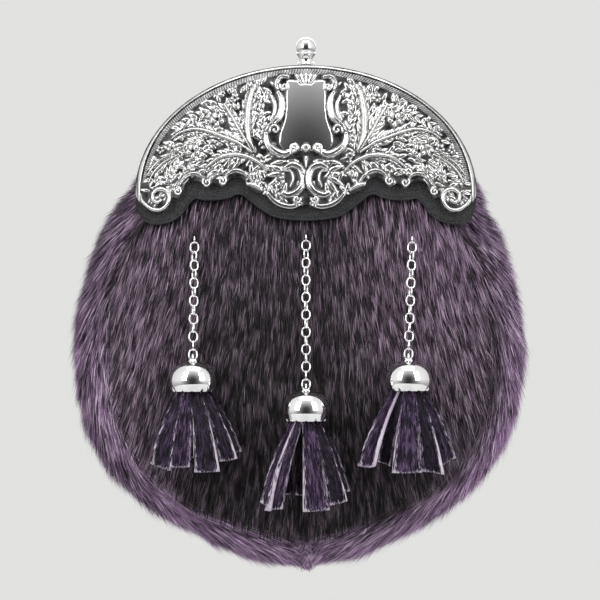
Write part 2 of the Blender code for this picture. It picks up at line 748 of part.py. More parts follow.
def build_dome(row, chrome):
    """The hollow dome over a tassel, with its eye."""
    outer, inner = dome_profile()
    top = dome_top(row)
    lip = top - Vector((0, 0, DOME_HEIGHT))
    bm = bmesh.new()
    add_turned(bm, [*reversed(inner), *outer], DOME_SIDES, lip)
    name = "tassel_dome_" + row[0]
    dome = add_object(name, mesh_from(bm, name), chrome)
    eye = bmesh.new()
    centre = top + Vector((0, 0, EYE_RADIUS - EYE_SINK))
    ring = [centre + EYE_RADIUS * Vector((0, math.cos(math.pi / 5 * k), math.sin(math.pi / 5 * k)))
            for k in range(10)]
    add_wire_ring(eye, ring, Vector((1, 0, 0)), EYE_WIRE / 2, WIRE_SIDES)
    boolean(dome, as_cutter(eye, name + "_eye"), "UNION")
    smooth(dome)


def head_radius():
    """The radius of the tassel's head, which fits the dome's lip."""
    return dome_profile()[1][0][0] - SEAM_GAP


def strip_centre(row, strip, share):
    """A point of a strip's middle line, at a share of the way from head to foot."""
    angle, lean, _, length, _, _ = strip
    turn = math.radians(angle)
    start = head_radius() * 0.62
    side_flare = row[5] * lean
    depth_flare = (TASSEL_FRONT_FLARE if math.cos(turn) > 0 else TASSEL_BACK_FLARE) * lean
    ease = share ** 1.15
    lip = dome_top(row) - Vector((0, 0, DOME_HEIGHT - TASSEL_HEAD_HEIGHT * 0.5))
    return lip + Vector((math.sin(turn) * (start + (side_flare - start) * ease),
                         -math.cos(turn) * (start + (depth_flare - start) * ease),
                         -STRIP_LENGTH * length * share))


def add_strip(bm, row, strip):
    """One hanging strip of furred leather, wider and twisted towards its foot."""
    angle, _, twist, _, head_width, foot_width = strip
    turn = math.radians(angle)
    rings = []
    for share in (0.0, 0.45, 1.0):
        centre = strip_centre(row, strip, share)
        below = strip_centre(row, strip, min(1.0, share + 0.1))
        above = strip_centre(row, strip, max(0.0, share - 0.1))
        down = (below - above).normalized()
        side = Vector((math.cos(turn), math.sin(turn), 0))
        side = Matrix.Rotation(math.radians(twist) * share, 3, down) @ side
        side = (side - down * side.dot(down)).normalized()
        face = down.cross(side)
        width = STRIP_LENGTH * (head_width + (foot_width - head_width) * share)
        rings.append([bm.verts.new(centre + side * a * width / 2 + face * b * STRIP_THICKNESS / 2)
                      for a, b in ((-1, -1), (1, -1), (1, 1), (-1, 1))])
    bridge_rings(bm, rings, False)


def build_tassel(row, suede):
    """The tassel's head inside its dome, with its strips fused to it."""
    lip = dome_top(row) - Vector((0, 0, DOME_HEIGHT))
    radius = head_radius()
    name = "tassel_" + row[0]
    bm = bmesh.new()
    add_turned(bm, [(radius, 0), (radius, TASSEL_HEAD_HEIGHT)], DOME_SIDES, lip)
    tassel = add_object(name, mesh_from(bm, name), suede)
    strips = bmesh.new()
    for strip in STRIPS:
        add_strip(strips, row, strip)
    boolean(tassel, as_cutter(strips, name + "_strips"), "UNION", self_crossing=True)


def slab(name, outline, near_y, far_y, finish):
    """A flat sheet with a given outline, between two depths."""
    bm = bmesh.new()
    rings = [[bm.verts.new((x, y, z)) for x, z in outline] for y in (near_y, far_y)]
    bridge_rings(bm, rings, False)
    return add_object(name, mesh_from(bm, name), finish)


def build_back(leather, chrome):
    """The leather back with its mouth, the flap over it, its stud and the strap loops."""
    face = -STRAP_ROOM / 2
    outline = []
    for k in range(ROUND_STEPS):
        point = border_rows(2 * math.pi * k / ROUND_STEPS)[-1]
        outline.append((point.x, point.z))
    back = slab("back_panel", outline, face - LEATHER_WALL, face, leather)
    mouth = bmesh.new()
    centre = Vector((0, face - LEATHER_WALL / 2, MOUTH_TOP_Z - MOUTH_HEIGHT / 2))
    size = Matrix.Diagonal((MOUTH_WIDTH, LEATHER_WALL * 3, MOUTH_HEIGHT, 1))
    bmesh.ops.create_cube(mouth, size=1, matrix=Matrix.Translation(centre) @ size)
    boolean(back, as_cutter(mouth, "mouth_cutter"), "DIFFERENCE")

    flap = [(-FLAP_HALF_WIDTH, FLAP_TOP_Z), (FLAP_HALF_WIDTH, FLAP_TOP_Z)]
    for k in range(13):
        turn = math.pi * k / 12
        flap.append((FLAP_HALF_WIDTH * math.cos(turn),
                     FLAP_TOP_Z - FLAP_STRAIGHT - FLAP_POINT * math.sin(turn)))
    outer = face + SEAM_GAP + LEATHER_WALL
    slab("back_flap", flap, face + SEAM_GAP, outer, leather)

    stud_z = FLAP_TOP_Z - FLAP_STRAIGHT - FLAP_POINT + STUD_FROM_TIP
    profile = [(STUD_RADIUS, 0), (STUD_RADIUS, STUD_HEIGHT * 0.35), (STUD_RADIUS * 0.8, STUD_HEIGHT * 0.8),
               (STUD_RADIUS * 0.35, STUD_HEIGHT)]
    bm = bmesh.new()
    add_turned(bm, profile, 12, Vector())
    turned = Matrix.Translation((0, outer + SEAM_GAP, stud_z)) @ Matrix.Rotation(-math.pi / 2, 4, "X")
    bmesh.ops.transform(bm, matrix=turned, verts=bm.verts)
    smooth(add_object("flap_stud", mesh_from(bm, "flap_stud"), chrome))

    for side, name in ((-1, "left"), (1, "right")):
        build_strap_loop("strap_loop_" + name, side * LOOP_SPREAD, face, leather)


def build_strap_loop(name, x, face, leather):
    """A leather loop that lies flat at its two feet and stands off between them."""
    half = LOOP_HEIGHT / 2
    ramp = STRAP_ROOM * 0.7
    room = STRAP_ROOM
    inner = [(half, 0), (half - LOOP_FOOT, 0), (half - LOOP_FOOT - ramp * 0.5, room),
             (-half + LOOP_FOOT + ramp * 0.5, room), (-half + LOOP_FOOT, 0), (-half, 0)]
    wall = LEATHER_WALL
    outer = [(-half, wall), (-half + LOOP_FOOT - wall * 0.5, wall),
             (-half + LOOP_FOOT, room + wall), (half - LOOP_FOOT, room + wall),
             (half - LOOP_FOOT + wall * 0.5, wall), (half, wall)]
    bm = bmesh.new()
    rings = [[bm.verts.new((x + across * LOOP_WIDTH / 2, face + SEAM_GAP + y, z))
              for z, y in inner + outer] for across in (-1, 1)]
    bridge_rings(bm, rings, False)
    add_object(name, mesh_from(bm, name), leather)


def build_sporran():
    """Build every piece of the sporran."""
    for made in list(bpy.data.objects):
        bpy.data.objects.remove(made, do_unlink=True)
    plum_fur = material("plum_fur", (0.055, 0.040, 0.052), 0.9)
    violet_fur = material("violet_fur", (0.105, 0.065, 0.125), 0.9)
    chrome = material("chrome", (0.80, 0.81, 0.82), 0.08, 1.0)
    leather = material("black_leather", (0.020, 0.020, 0.022), 0.55)
    suede = material("furred_suede", (0.140, 0.075, 0.160), 0.85)
    build_panel(plum_fur)
    build_border(violet_fur)
    build_back(leather, chrome)
    build_cantle_leather(leather)
    build_cantle(chrome)
    build_knob(chrome)
    for row in TASSELS:
        build_chain(row, chrome)
        build_dome(row, chrome)
        build_tassel(row, suede)


build_sporran()
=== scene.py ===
"""The looks of a dress sporran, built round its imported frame.

Metres, +Z up, the front towards -Y. Each class below makes one sub-assembly: the fur panel and
its border, the cast cantle over its scalloped leather, the chains with their tassels, and the
leather back.
"""
from __future__ import annotations

import logging
import math
from dataclasses import dataclass
from enum import Enum

import bmesh
import bpy
import numpy as np
from bpy.types import ID, Material, Mesh, Node, NodeSocket, NodeTree, Object
from mathutils import Matrix, Vector


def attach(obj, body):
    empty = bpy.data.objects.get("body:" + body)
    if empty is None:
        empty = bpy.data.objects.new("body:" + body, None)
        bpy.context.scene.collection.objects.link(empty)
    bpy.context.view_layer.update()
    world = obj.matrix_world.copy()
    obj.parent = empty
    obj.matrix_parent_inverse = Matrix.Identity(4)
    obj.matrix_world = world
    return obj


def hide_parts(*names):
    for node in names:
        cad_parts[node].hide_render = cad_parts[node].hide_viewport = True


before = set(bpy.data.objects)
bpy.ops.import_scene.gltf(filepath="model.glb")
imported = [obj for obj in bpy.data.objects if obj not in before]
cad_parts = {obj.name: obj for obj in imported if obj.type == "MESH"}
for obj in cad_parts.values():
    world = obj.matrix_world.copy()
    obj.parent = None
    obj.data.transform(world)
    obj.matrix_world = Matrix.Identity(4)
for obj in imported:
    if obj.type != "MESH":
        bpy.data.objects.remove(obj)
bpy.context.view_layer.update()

LOG = logging.getLogger("sporran")
CRIMP_HEIGHT = 0.0018
SHARP_ANGLE = math.radians(40)
WELD = 1e-6
Array = np.ndarray
Table = tuple[tuple[float, float], ...]
Colour = tuple[float, float, float]


class Slot(Enum):
    """The record's material slots."""

    PLUM_FUR = "plum_fur"
    VIOLET_FUR = "violet_fur"
    CHROME = "chrome"
    BLACK_LEATHER = "black_leather"
    FURRED_SUEDE = "furred_suede"


class Side(Enum):
    """The two sides of the pouch, as seen from the front."""

    LEFT = -1
    RIGHT = 1


# Reading tables and curves

def read_table(rows: Table, places: Array | float) -> Array:
    """Read a table on a smooth curve that never swings past its rows.

    Args:
        rows: Pairs of place and value, in order of place.
        places: Where to read.

    Returns:
        The values at those places.
    """
    data = np.array(rows, float)
    x, y = data[:, 0], data[:, 1]
    at = np.clip(np.asarray(places, float), x[0], x[-1])
    slopes = np.diff(y) / np.diff(x)
    tangents = np.zeros(len(x))
    product = slopes[:-1] * slopes[1:]
    total = slopes[:-1] + slopes[1:]
    tangents[1:-1] = np.where(product > 0, 2 * product / np.where(total == 0, 1, total), 0)
    low = np.clip(np.searchsorted(x, at, side="left") - 1, 0, len(x) - 2)
    span = x[low + 1] - x[low]
    t = (at - x[low]) / span
    return ((2 * t ** 3 - 3 * t ** 2 + 1) * y[low] + (3 * t ** 2 - 2 * t ** 3) * y[low + 1]
            + (t ** 3 - 2 * t ** 2 + t) * span * tangents[low]
            + (t ** 3 - t ** 2) * span * tangents[low + 1])


def smooth_step(low: float, high: float, values: Array) -> Array:
    """Rise smoothly from 0 at the low value to 1 at the high one."""
    t = np.clip((np.asarray(values, float) - low) / (high - low), 0, 1)
    return t * t * (3 - 2 * t)


def through_points(points: Array, steps: int) -> Array:
    """Run a smooth curve through points.

    Args:
        points: The points, one a row.
        steps: Samples between each pair.

    Returns:
        The samples along the curve, one a row.
    """
    points = np.asarray(points, float)
    padded = np.vstack([2 * points[0] - points[1], points, 2 * points[-1] - points[-2]])
    t = np.linspace(0, 1, steps, endpoint=False)[:, None]
    runs = []
    for i in range(len(points) - 1):
        a, b, c, d = padded[i:i + 4]
        runs.append(0.5 * (2 * b + (c - a) * t + (2 * a - 5 * b + 4 * c - d) * t ** 2
                           + (3 * b - a - 3 * c + d) * t ** 3))
    return np.vstack([*runs, points[-1:]])


def full_turn(steps: int) -> Array:
    """Give evenly spaced angles round a circle."""
    return np.linspace(0, 2 * math.pi, steps, endpoint=False)


def points_of(*parts: Array | float) -> Array:
    """Put coordinates side by side as points."""
    return np.stack(np.broadcast_arrays(*parts), -1)


def way_along(line: Array) -> Array:
    """Measure the way along a flat line to each of its points."""
    return np.concatenate([[0], np.cumsum(np.hypot(*np.diff(line, axis=0).T))])


def unit(vectors: Array) -> Array:
    """Bring vectors to a length of one."""
    return vectors / np.maximum(np.linalg.norm(vectors, axis=-1, keepdims=True), 1e-12)


# Meshes

def mesh_from(points: Array, faces: list) -> Mesh:
    """Make a mesh from points and faces.

    Args:
        points: One point a row.
        faces: The corners of each face.

    Returns:
        The mesh, shaded smooth.
    """
    mesh = bpy.data.meshes.new("mesh")
    mesh.from_pydata(np.asarray(points, float).tolist(), [], faces)
    mesh.update()
    mesh.shade_smooth()
    return mesh


def grid_mesh(grid: Array, ring: bool = False) -> Mesh:
    """Make a closed mesh from a grid of points whose rows are loops.

    Args:
        grid: Points as rows, columns and three numbers.
        ring: Whether the last row joins the first. If not, both are filled.

    Returns:
        The mesh, with its faces pointing out.
    """
    rows, columns = grid.shape[:2]
    r, c = np.meshgrid(np.arange(rows if ring else rows - 1), np.arange(columns), indexing="ij")
    r2, c2 = (r + 1) % rows, (c + 1) % columns
    quads = points_of(r * columns + c, r * columns + c2, r2 * columns + c2, r2 * columns + c)
    faces = quads.reshape(-1, 4).tolist()
    if not ring:
        faces.append(list(range(columns)))
        faces.append(list(range(rows * columns - 1, (rows - 1) * columns - 1, -1)))
    return turn_outwards(mesh_from(grid.reshape(-1, 3), faces))


def turn_outwards(mesh: Mesh, weld: float = 0.0) -> Mesh:
    """Weld a mesh's points that lie closer than a distance, and point its faces out.

    Args:
        mesh: The closed mesh.
        weld: The distance, or 0 where nothing is welded.

    Returns:
        The same mesh, shaded smooth.
    """
    bm = bmesh.new()
    bm.from_mesh(mesh)
    if weld:
        bmesh.ops.remove_doubles(bm, verts=bm.verts, dist=weld)
    bmesh.ops.recalc_face_normals(bm, faces=bm.faces)
    bm.to_mesh(mesh)
    bm.free()
    mesh.shade_smooth()
    return mesh


def store(mesh: Mesh, **layers: Array) -> None:
    """Store values for each point of a mesh.

    Args:
        mesh: The mesh.
        layers: One number a point, or three, for each attribute.
    """
    for name, values in layers.items():
        values = np.asarray(values, np.float32).ravel()
        single = len(values) == len(mesh.vertices)
        attribute = mesh.attributes.new(name, "FLOAT" if single else "FLOAT_VECTOR", "POINT")
        attribute.data.foreach_set("value" if single else "vector", values)


def place_object(name: str, data: ID) -> Object:
    """Link a mesh, curve, light or camera to the scene as an object at the origin.

    Args:
        name: The object's name.
        data: The mesh, curve, light or camera.

    Returns:
        The new object.
    """
    made = bpy.data.objects.new(name, data)
    bpy.context.scene.collection.objects.link(made)
    return made


def join_meshes(*meshes: Mesh) -> Mesh:
    """Put several meshes in one.

    Args:
        meshes: The meshes, which are removed.

    Returns:
        The joined mesh.
    """
    bm = bmesh.new()
    for mesh in meshes:
        bm.from_mesh(mesh)
    joined = bpy.data.meshes.new("joined")
    bm.to_mesh(joined)
    bm.free()
    joined.shade_smooth()
    for mesh in meshes:
        bpy.data.meshes.remove(mesh)
    return joined


def turned_mesh(profile: Array, sides: int, centre: Vector,
                crimp: float = 0.0, crimps: int = 0) -> Mesh:
    """Turn a profile round the vertical.

    Args:
        profile: Pairs of radius and height, from one end of the axis or lip to the other.
        sides: Steps round the axis.
        centre: Where the axis and the profile's height 0 meet.
        crimp: How far the first rows are pinched in, in metres.
        crimps: How many pinches there are round the lip.

    Returns:
        The mesh, closed at both ends of its profile.
    """
    turns = full_turn(sides)
    radius, height = np.hsplit(np.asarray(profile, float), 2)
    near_lip = np.clip(1 - (height - height.min()) / CRIMP_HEIGHT, 0, 1)
    radius = radius - crimp * near_lip * np.clip(np.cos(crimps * turns), 0, 1) ** 3
    grid = points_of(centre.x + radius * np.cos(turns), centre.y + radius * np.sin(turns),
                     centre.z + height)
    return grid_mesh(grid)


def hand_over(name: str, mesh: Mesh, finish: Material, slot: Slot, *nodes: str) -> None:
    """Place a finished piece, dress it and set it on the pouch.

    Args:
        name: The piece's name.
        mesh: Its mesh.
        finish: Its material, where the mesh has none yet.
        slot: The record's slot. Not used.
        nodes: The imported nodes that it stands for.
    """
    mesh.name = name
    made = place_object(name, mesh)
    if not mesh.materials:
        mesh.materials.append(finish)
    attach(made, "root")
    if nodes:
        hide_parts(*nodes)
    mesh.calc_loop_triangles()
    LOG.info("%s: %d triangles", name, len(mesh.loop_triangles))


# Node trees

class NodeSheet:
    """Adds nodes to one tree and links them."""

    def __init__(self, tree: NodeTree) -> None:
        """Keep the tree that is worked on."""
        self.tree = tree

    def add(self, kind: str, values: dict | None = None, **settings: object) -> Node:
        """Add a node.

        Args:
            kind: The node's type.
            values: A value or an output socket for each input, by name or number.
            settings: Properties of the node.

        Returns:
            The node.
        """
        node = self.tree.nodes.new(kind)
        for key, value in settings.items():
            setattr(node, key, value)
        for key, value in (values or {}).items():
            socket = node.inputs[key]
            if isinstance(value, NodeSocket):
                self.tree.links.new(value, socket)
            elif isinstance(value, Node):
                self.tree.links.new(value.outputs[0], socket)
            elif socket.type == "RGBA" and len(value) == 3:
                socket.default_value = (*value, 1.0)
            else:
                socket.default_value = value
        return node

    def maths(self, operation: str, first: object, second: object = 0.0,
              third: object = 0.0, clamp: bool = False) -> NodeSocket:
        """Add a Math node and give its result.

        Args:
            operation: Blender's name of the operation.
            first, second, third: A number or a socket for each input.
            clamp: Whether the result stays between 0 and 1.

        Returns:
            The result's socket.
        """
        node = self.add("ShaderNodeMath", {0: first, 1: second, 2: third},
                        operation=operation, use_clamp=clamp)
        return node.outputs[0]

    def vector(self, operation: str, first: object, second: object = (0, 0, 0),
               scale: object = None) -> NodeSocket:
        """Add a Vector Math node and give its result.

        Args:
            operation: Blender's name of the operation.
            first, second: A vector or a socket for each input.
            scale: A number or a socket, for the operations that scale.

        Returns:
            The result's socket.
        """
        values = {0: first, 1: second}
        if scale is not None:
            values = {0: first, "Scale": scale}
        return self.add("ShaderNodeVectorMath", values, operation=operation).outputs[0]

    def blend(self, share: object, first: object, second: object,
              mode: str = "MIX") -> NodeSocket:
        """Mix two colours and give the result.

        Args:
            share: The second colour's share.
            first, second: A colour or a socket for each.
            mode: Blender's name of the blend mode.

        Returns:
            The mixed colour's socket.
        """
        node = self.add("ShaderNodeMix", {0: share, 6: first, 7: second},
                        data_type="RGBA", blend_type=mode)
        return node.outputs[2]

    def spread(self, value: object, low: float, high: float, to_low: float = 0.0,
               to_high: float = 1.0) -> NodeSocket:
        """Map a range of values to another one and give the result."""
        node = self.add("ShaderNodeMapRange", {0: value, 1: low, 2: high, 3: to_low, 4: to_high})
        return node.outputs[0]

    def noise(self, place: object, scale: object, detail: float) -> Node:
        """Add a noise texture."""
        return self.add("ShaderNodeTexNoise", {"Vector": place, "Scale": scale, "Detail": detail})

    def combine(self, kind: str, *parts: object) -> NodeSocket:
        """Join three numbers to a colour or a vector and give the result."""
        return self.add("ShaderNodeCombine" + kind, dict(enumerate(parts))).outputs[0]

    def feed(self, node: Node, values: dict) -> None:
        """Link results to a node's inputs by name."""
        for label, value in values.items():
            self.tree.links.new(value, node.inputs[label])

    def object_place(self) -> NodeSocket:
        """Read the place on the object in a material."""
        return self.add("ShaderNodeTexCoord").outputs["Object"]

    def layer(self, name: str) -> NodeSocket:
        """Read a named attribute in a material."""
        return self.add("ShaderNodeAttribute", attribute_name=name).outputs["Fac"]

    def attribute(self, name: str, kind: str = "FLOAT") -> NodeSocket:
        """Read a named attribute in a geometry tree."""
        node = self.add("GeometryNodeInputNamedAttribute", {"Name": name}, data_type=kind)
        return node.outputs["Attribute"]

    def random(self, low: float, high: float, seed: int) -> NodeSocket:
        """Draw a number for each point in a geometry tree.

        Args:
            low, high: The range of the numbers.
            seed: The draw's own seed.

        Returns:
            The number's socket.
        """
        node = self.add("FunctionNodeRandomValue", {2: low, 3: high, "Seed": seed},
                        data_type="FLOAT")
        return node.outputs[1]

    def random_vector(self, seed: int) -> NodeSocket:
        """Draw three numbers from -1 to 1 for each point in a geometry tree."""
        return self.combine("XYZ", *(self.random(-1, 1, seed + k) for k in range(3)))

    def finish_copies(self, copies: object, finish: object) -> None:
        """Turn the copies into a plain mesh with a material and give it out.

        Args:
            copies: The socket with the copies.
            finish: The socket with their material.
        """
        real = self.add("GeometryNodeRealizeInstances", {0: copies})
        dressed = self.add("GeometryNodeSetMaterial", {0: real, "Material": finish})
        out = next(node for node in self.tree.nodes if node.bl_idname == "NodeGroupOutput")
        self.tree.links.new(dressed.outputs[0], out.inputs[0])


def new_group(name: str, kind: str, inputs: tuple, outputs: tuple) -> tuple:
    """Make a node group with named inputs and outputs.

    Args:
        name: The group's name.
        kind: The type of its tree.
        inputs: A name, a kind of socket and a starting value or None for each input.
        outputs: A name and a kind of socket for each output.

    Returns:
        The tree, the node that gives its inputs and the node that takes its outputs.
    """
    tree = bpy.data.node_groups.new(name, kind)
    for label, socket, start in inputs:
        made = tree.interface.new_socket(label, in_out="INPUT",
                                         socket_type="NodeSocket" + socket)
        if start is not None:
            made.default_value = start
    for label, socket in outputs:
        tree.interface.new_socket(label, in_out="OUTPUT", socket_type="NodeSocket" + socket)
    return tree, tree.nodes.new("NodeGroupInput"), tree.nodes.new("NodeGroupOutput")


def socket_key(tree: NodeTree, label: str) -> str:
    """Find the identifier of a group's input by its name.

    Args:
        tree: The node group.
        label: The input's name.

    Returns:
        The input's identifier.
    """
    for item in tree.interface.items_tree:
        if item.item_type == "SOCKET" and item.in_out == "INPUT" and item.name == label:
            return item.identifier
    raise KeyError(label)


def run_tree(start: Mesh, tree: NodeTree, values: dict) -> Mesh:
    """Evaluate a geometry tree on a mesh and keep the result as a plain mesh.

    Args:
        start: The mesh that the tree works on. It is removed.
        tree: The geometry tree.
        values: A value for each of its named inputs.

    Returns:
        The finished mesh.
    """
    host = place_object("host", start)
    modifier = host.modifiers.new("tree", "NODES")
    modifier.node_group = tree
    for label, value in values.items():
        modifier[socket_key(tree, label)] = value
    depsgraph = bpy.context.evaluated_depsgraph_get()
    mesh = bpy.data.meshes.new_from_object(host.evaluated_get(depsgraph), depsgraph=depsgraph,
                                           preserve_all_data_layers=True)
    bpy.data.meshes.remove(start)
    mesh.shade_smooth()
    return mesh


# The pouch's measured form

@dataclass(frozen=True)
class PouchForm:
    """The outlines and depths that every piece is set from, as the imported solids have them."""

    top_z: float = 0.035
    radius: float = 0.0938
    drop: float = 0.1117
    depth: float = 0.046
    strap_room: float = 0.006
    side_swell: float = 0.003
    side_fall: float = 0.008
    top_fall: float = 0.014
    bottom_fall: float = 0.004
    bag_inset: float = 0.0026
    panel_inset: float = 0.009
    fur_wall: float = 0.003
    leather_wall: float = 0.0022
    seam_gap: float = 0.0003
    cantle_half_width: float = 0.0724
    cantle_arc: float = 0.0544
    cantle_plate: float = 0.0022
    bag_rows: Table = ((0, 1.053), (30, 1.021), (60, 1.048), (90, 0.995), (110, 0.972),
                       (130, 0.982), (180, 0.982))
    panel_rows: Table = ((0, 0.880), (20, 0.862), (45, 0.880), (70, 0.851), (95, 0.813),
                         (120, 0.850), (180, 0.850))

    @property
    def centre_z(self) -> float:
        """The height of the bag's middle."""
        return self.top_z - self.drop

    @property
    def back_face(self) -> float:
        """The depth of the back panel's outer face."""
        return -self.strap_room / 2

    def belly(self, x: Array | float, z: Array | float) -> Array:
        """Give the depth of the bag's front surface.

        Args:
            x: Where across.
            z: How high.

        Returns:
            The depth along Y.
        """
        x, z = np.asarray(x, float), np.asarray(z, float)
        over = z - self.centre_z
        fall = self.side_fall * (x / self.radius) ** 2
        fall = fall + np.where(over > 0, self.top_fall * (over / self.drop) ** 2,
                               self.bottom_fall * (over / self.radius) ** 2)
        return self.back_face - self.depth + fall

    def arc_radius(self, angle: Array, inset: float) -> Array:
        """Measure from the bag's middle to the cantle's arc.

        Args:
            angle: Radians from straight down.
            inset: How far inside the arc.

        Returns:
            The distance along each angle, or 0 where the arc isn't reached.
        """
        half, height = self.cantle_half_width - inset, self.cantle_arc - inset
        across, up = np.sin(angle) / half, -np.cos(angle) / height
        drop = (self.top_z - self.cantle_arc - self.centre_z) / height
        a, b, c = across ** 2 + up ** 2, -2 * up * drop, drop ** 2 - 1
        inside = b * b - 4 * a * c
        reach = (-b + np.sqrt(np.maximum(inside, 0))) / (2 * a)
        return np.where((inside > 0) & (angle >= math.radians(100)), reach, 0)

    def outline(self, rows: Table, inset: float, angle: Array) -> Array:
        """Give points of an outline.

        Args:
            rows: Degrees from the lowest point, and shares of the bag's radius.
            inset: How far inside the cantle's arc it stays.
            angle: Radians from straight down.

        Returns:
            The distance across and the height of each point.
        """
        angle = np.asarray(angle, float)
        turned = np.abs(np.arctan2(np.sin(angle), np.cos(angle)))
        reach = read_table(rows, np.degrees(turned)) * self.radius
        reach = reach - self.side_swell * np.sin(angle)
        reach = np.maximum(reach, self.arc_radius(turned, inset))
        return points_of(np.sin(angle) * reach, self.centre_z - np.cos(angle) * reach)

    def bag(self, angle: Array) -> Array:
        """Give points of the bag's widest outline."""
        return self.outline(self.bag_rows, self.bag_inset, angle)

    def seam(self, angle: Array) -> Array:
        """Give points of the seam between the front panel and the border."""
        return self.outline(self.panel_rows, self.panel_inset, angle)

    def on_cantle(self, x: Array, z: Array, lift: Array | float) -> Array:
        """Give points over the cantle's face.

        Args:
            x: Where across.
            z: How high.
            lift: How far in front of the plate.

        Returns:
            The points, with three numbers each.
        """
        y = self.belly(x, z) - self.leather_wall - 2 * self.seam_gap - self.cantle_plate - lift
        return points_of(x, y, z)


FORM = PouchForm()


# Finishes

def new_material(name: str) -> tuple[Material, NodeSheet, Node]:
    """Make a material with a plain shader.

    Args:
        name: The material's name.

    Returns:
        The material, its node sheet and its shader.
    """
    made = bpy.data.materials.new(name)
    made.use_nodes = True
    return made, NodeSheet(made.node_tree), made.node_tree.nodes["Principled BSDF"]


class SharedEffects:
    """The shader groups that more than one finish uses."""

    def __init__(self) -> None:
        """Build each group once."""
        self.hair_colour = self.build_hair_colour()
        self.grain = self.build_grain()
        self.patina = self.build_patina()

    def build_hair_colour(self) -> NodeTree:
        """Colour a strand from its root to its tip, with its own tone and its place's shade,
        which mixes its inner and outer colours and stands in part for painted light and shade.

        Returns:
            The group.
        """
        tree, start, end = new_group(
            "strand_colour", "ShaderNodeTree",
            (("Along", "Float", 0.5), ("Tone", "Float", 0.5),
             ("Shade", "Float", 0.5), ("Root", "Color", None),
             ("Inner", "Color", None), ("Outer", "Color", None),
             ("Glint", "Color", None)),
            (("Color", "Color"), ("Roughness", "Float")))
        sheet = NodeSheet(tree)
        sources = start.outputs
        body = sheet.blend(sources["Shade"], sources["Inner"], sources["Outer"])
        dark = sheet.spread(sources["Tone"], 0.05, 0.60, 0.06, 1.0)
        toned = sheet.blend(1.0, body, sheet.combine("Color", dark, dark, dark), "MULTIPLY")
        # The glint is a painted highlight on the lighter strands, held back where the shade is
        # low
        bright = sheet.maths("MULTIPLY", sheet.spread(sources["Tone"], 0.60, 1.0, 0.0, 0.8),
                             sheet.spread(sources["Shade"], -0.2, 0.5, 0.0, 1.0))
        toned = sheet.blend(bright, toned, sources["Glint"])
        # Darker towards the root: partly the fur's own colour, partly painted shade deep in the
        # fur
        rise = sheet.spread(sources["Along"], 0.02, 0.5)
        sheet.feed(end, {"Color": sheet.blend(rise, sources["Root"], toned),
                         "Roughness": sheet.spread(sources["Tone"], 0.0, 1.0, 0.62, 0.42)})
        return tree

    def build_grain(self) -> NodeTree:
        """Raise the pebbled grain of leather or the nap of suede.

        Returns:
            The group.
        """
        tree, start, end = new_group(
            "hide_grain", "ShaderNodeTree",
            (("Vector", "Vector", None), ("Pebble Scale", "Float", 1500.0),
             ("Crease Depth", "Float", 0.5)),
            (("Height", "Float"), ("Cloud", "Float")))
        sheet = NodeSheet(tree)
        sources = start.outputs
        warp = sheet.noise(sources["Vector"], 420.0, 2.0)
        moved = sheet.vector("SCALE", warp.outputs["Color"], scale=0.0011)
        place = sheet.vector("ADD", sources["Vector"], moved)
        cells = sheet.add("ShaderNodeTexVoronoi", {"Vector": place,
                                                   "Scale": sources["Pebble Scale"]},
                          feature="DISTANCE_TO_EDGE")
        crease = sheet.spread(cells.outputs[0], 0.0, 0.22)
        deep = sheet.maths("MULTIPLY", crease, sources["Crease Depth"])
        fine = sheet.noise(sources["Vector"], 5200.0, 3.0)
        height = sheet.maths("MULTIPLY_ADD", fine.outputs[0], 0.35, deep)
        cloud = sheet.noise(sources["Vector"], 90.0, 4.0)
        sheet.feed(end, {"Height": height, "Cloud": cloud.outputs[0]})
        return tree

    def build_patina(self) -> NodeTree:
        """Darken plating with patina in its recesses and with a painted dark reflection along the
        cantle rim's edge, and dull it a little in patches.

        Returns:
            The group.
        """
        tree, start, end = new_group(
            "plating_patina", "ShaderNodeTree",
            (("Vector", "Vector", None), ("Recess", "Float", 0.0),
             ("Plate", "Color", None), ("Dark", "Color", None),
             ("Polish", "Float", 0.06)),
            (("Color", "Color"), ("Roughness", "Float")))
        sheet = NodeSheet(tree)
        sources = start.outputs
        smear = sheet.noise(sources["Vector"], 260.0, 5.0)
        uneven = sheet.spread(smear.outputs[0], 0.3, 0.7, -0.12, 0.12)
        recess = sheet.maths("ADD", sources["Recess"], sheet.maths(
            "MULTIPLY", uneven, sheet.spread(sources["Recess"], 0.0, 0.3)), clamp=True)
        dull = sheet.maths("MULTIPLY_ADD", recess, 0.3, sources["Polish"])
        sheet.feed(end, {"Color": sheet.blend(recess, sources["Plate"], sources["Dark"]),
                         "Roughness": sheet.maths("MULTIPLY_ADD", smear.outputs[0], 0.03, dull)})
        return tree


@dataclass(frozen=True)
class HairFinish:
    """The colours of one kind of fur."""

    name: str
    root: Colour
    inner: Colour
    outer: Colour
    glint: Colour

    def build(self, effects: SharedEffects) -> Material:
        """Make the material.

        Args:
            effects: The shared shader groups.

        Returns:
            The material, which reads a strand's own attributes.
        """
        made, sheet, shader = new_material(self.name)
        colour = sheet.add("ShaderNodeGroup", {
            "Along": sheet.layer("along"), "Tone": sheet.layer("tone"),
            "Shade": sheet.layer("shade"), "Root": self.root, "Inner": self.inner,
            "Outer": self.outer, "Glint": self.glint}, node_tree=effects.hair_colour)
        sheet.feed(shader, {"Base Color": colour.outputs["Color"],
                            "Roughness": colour.outputs["Roughness"]})
        shader.inputs["Specular IOR Level"].default_value = 0.25
        return made


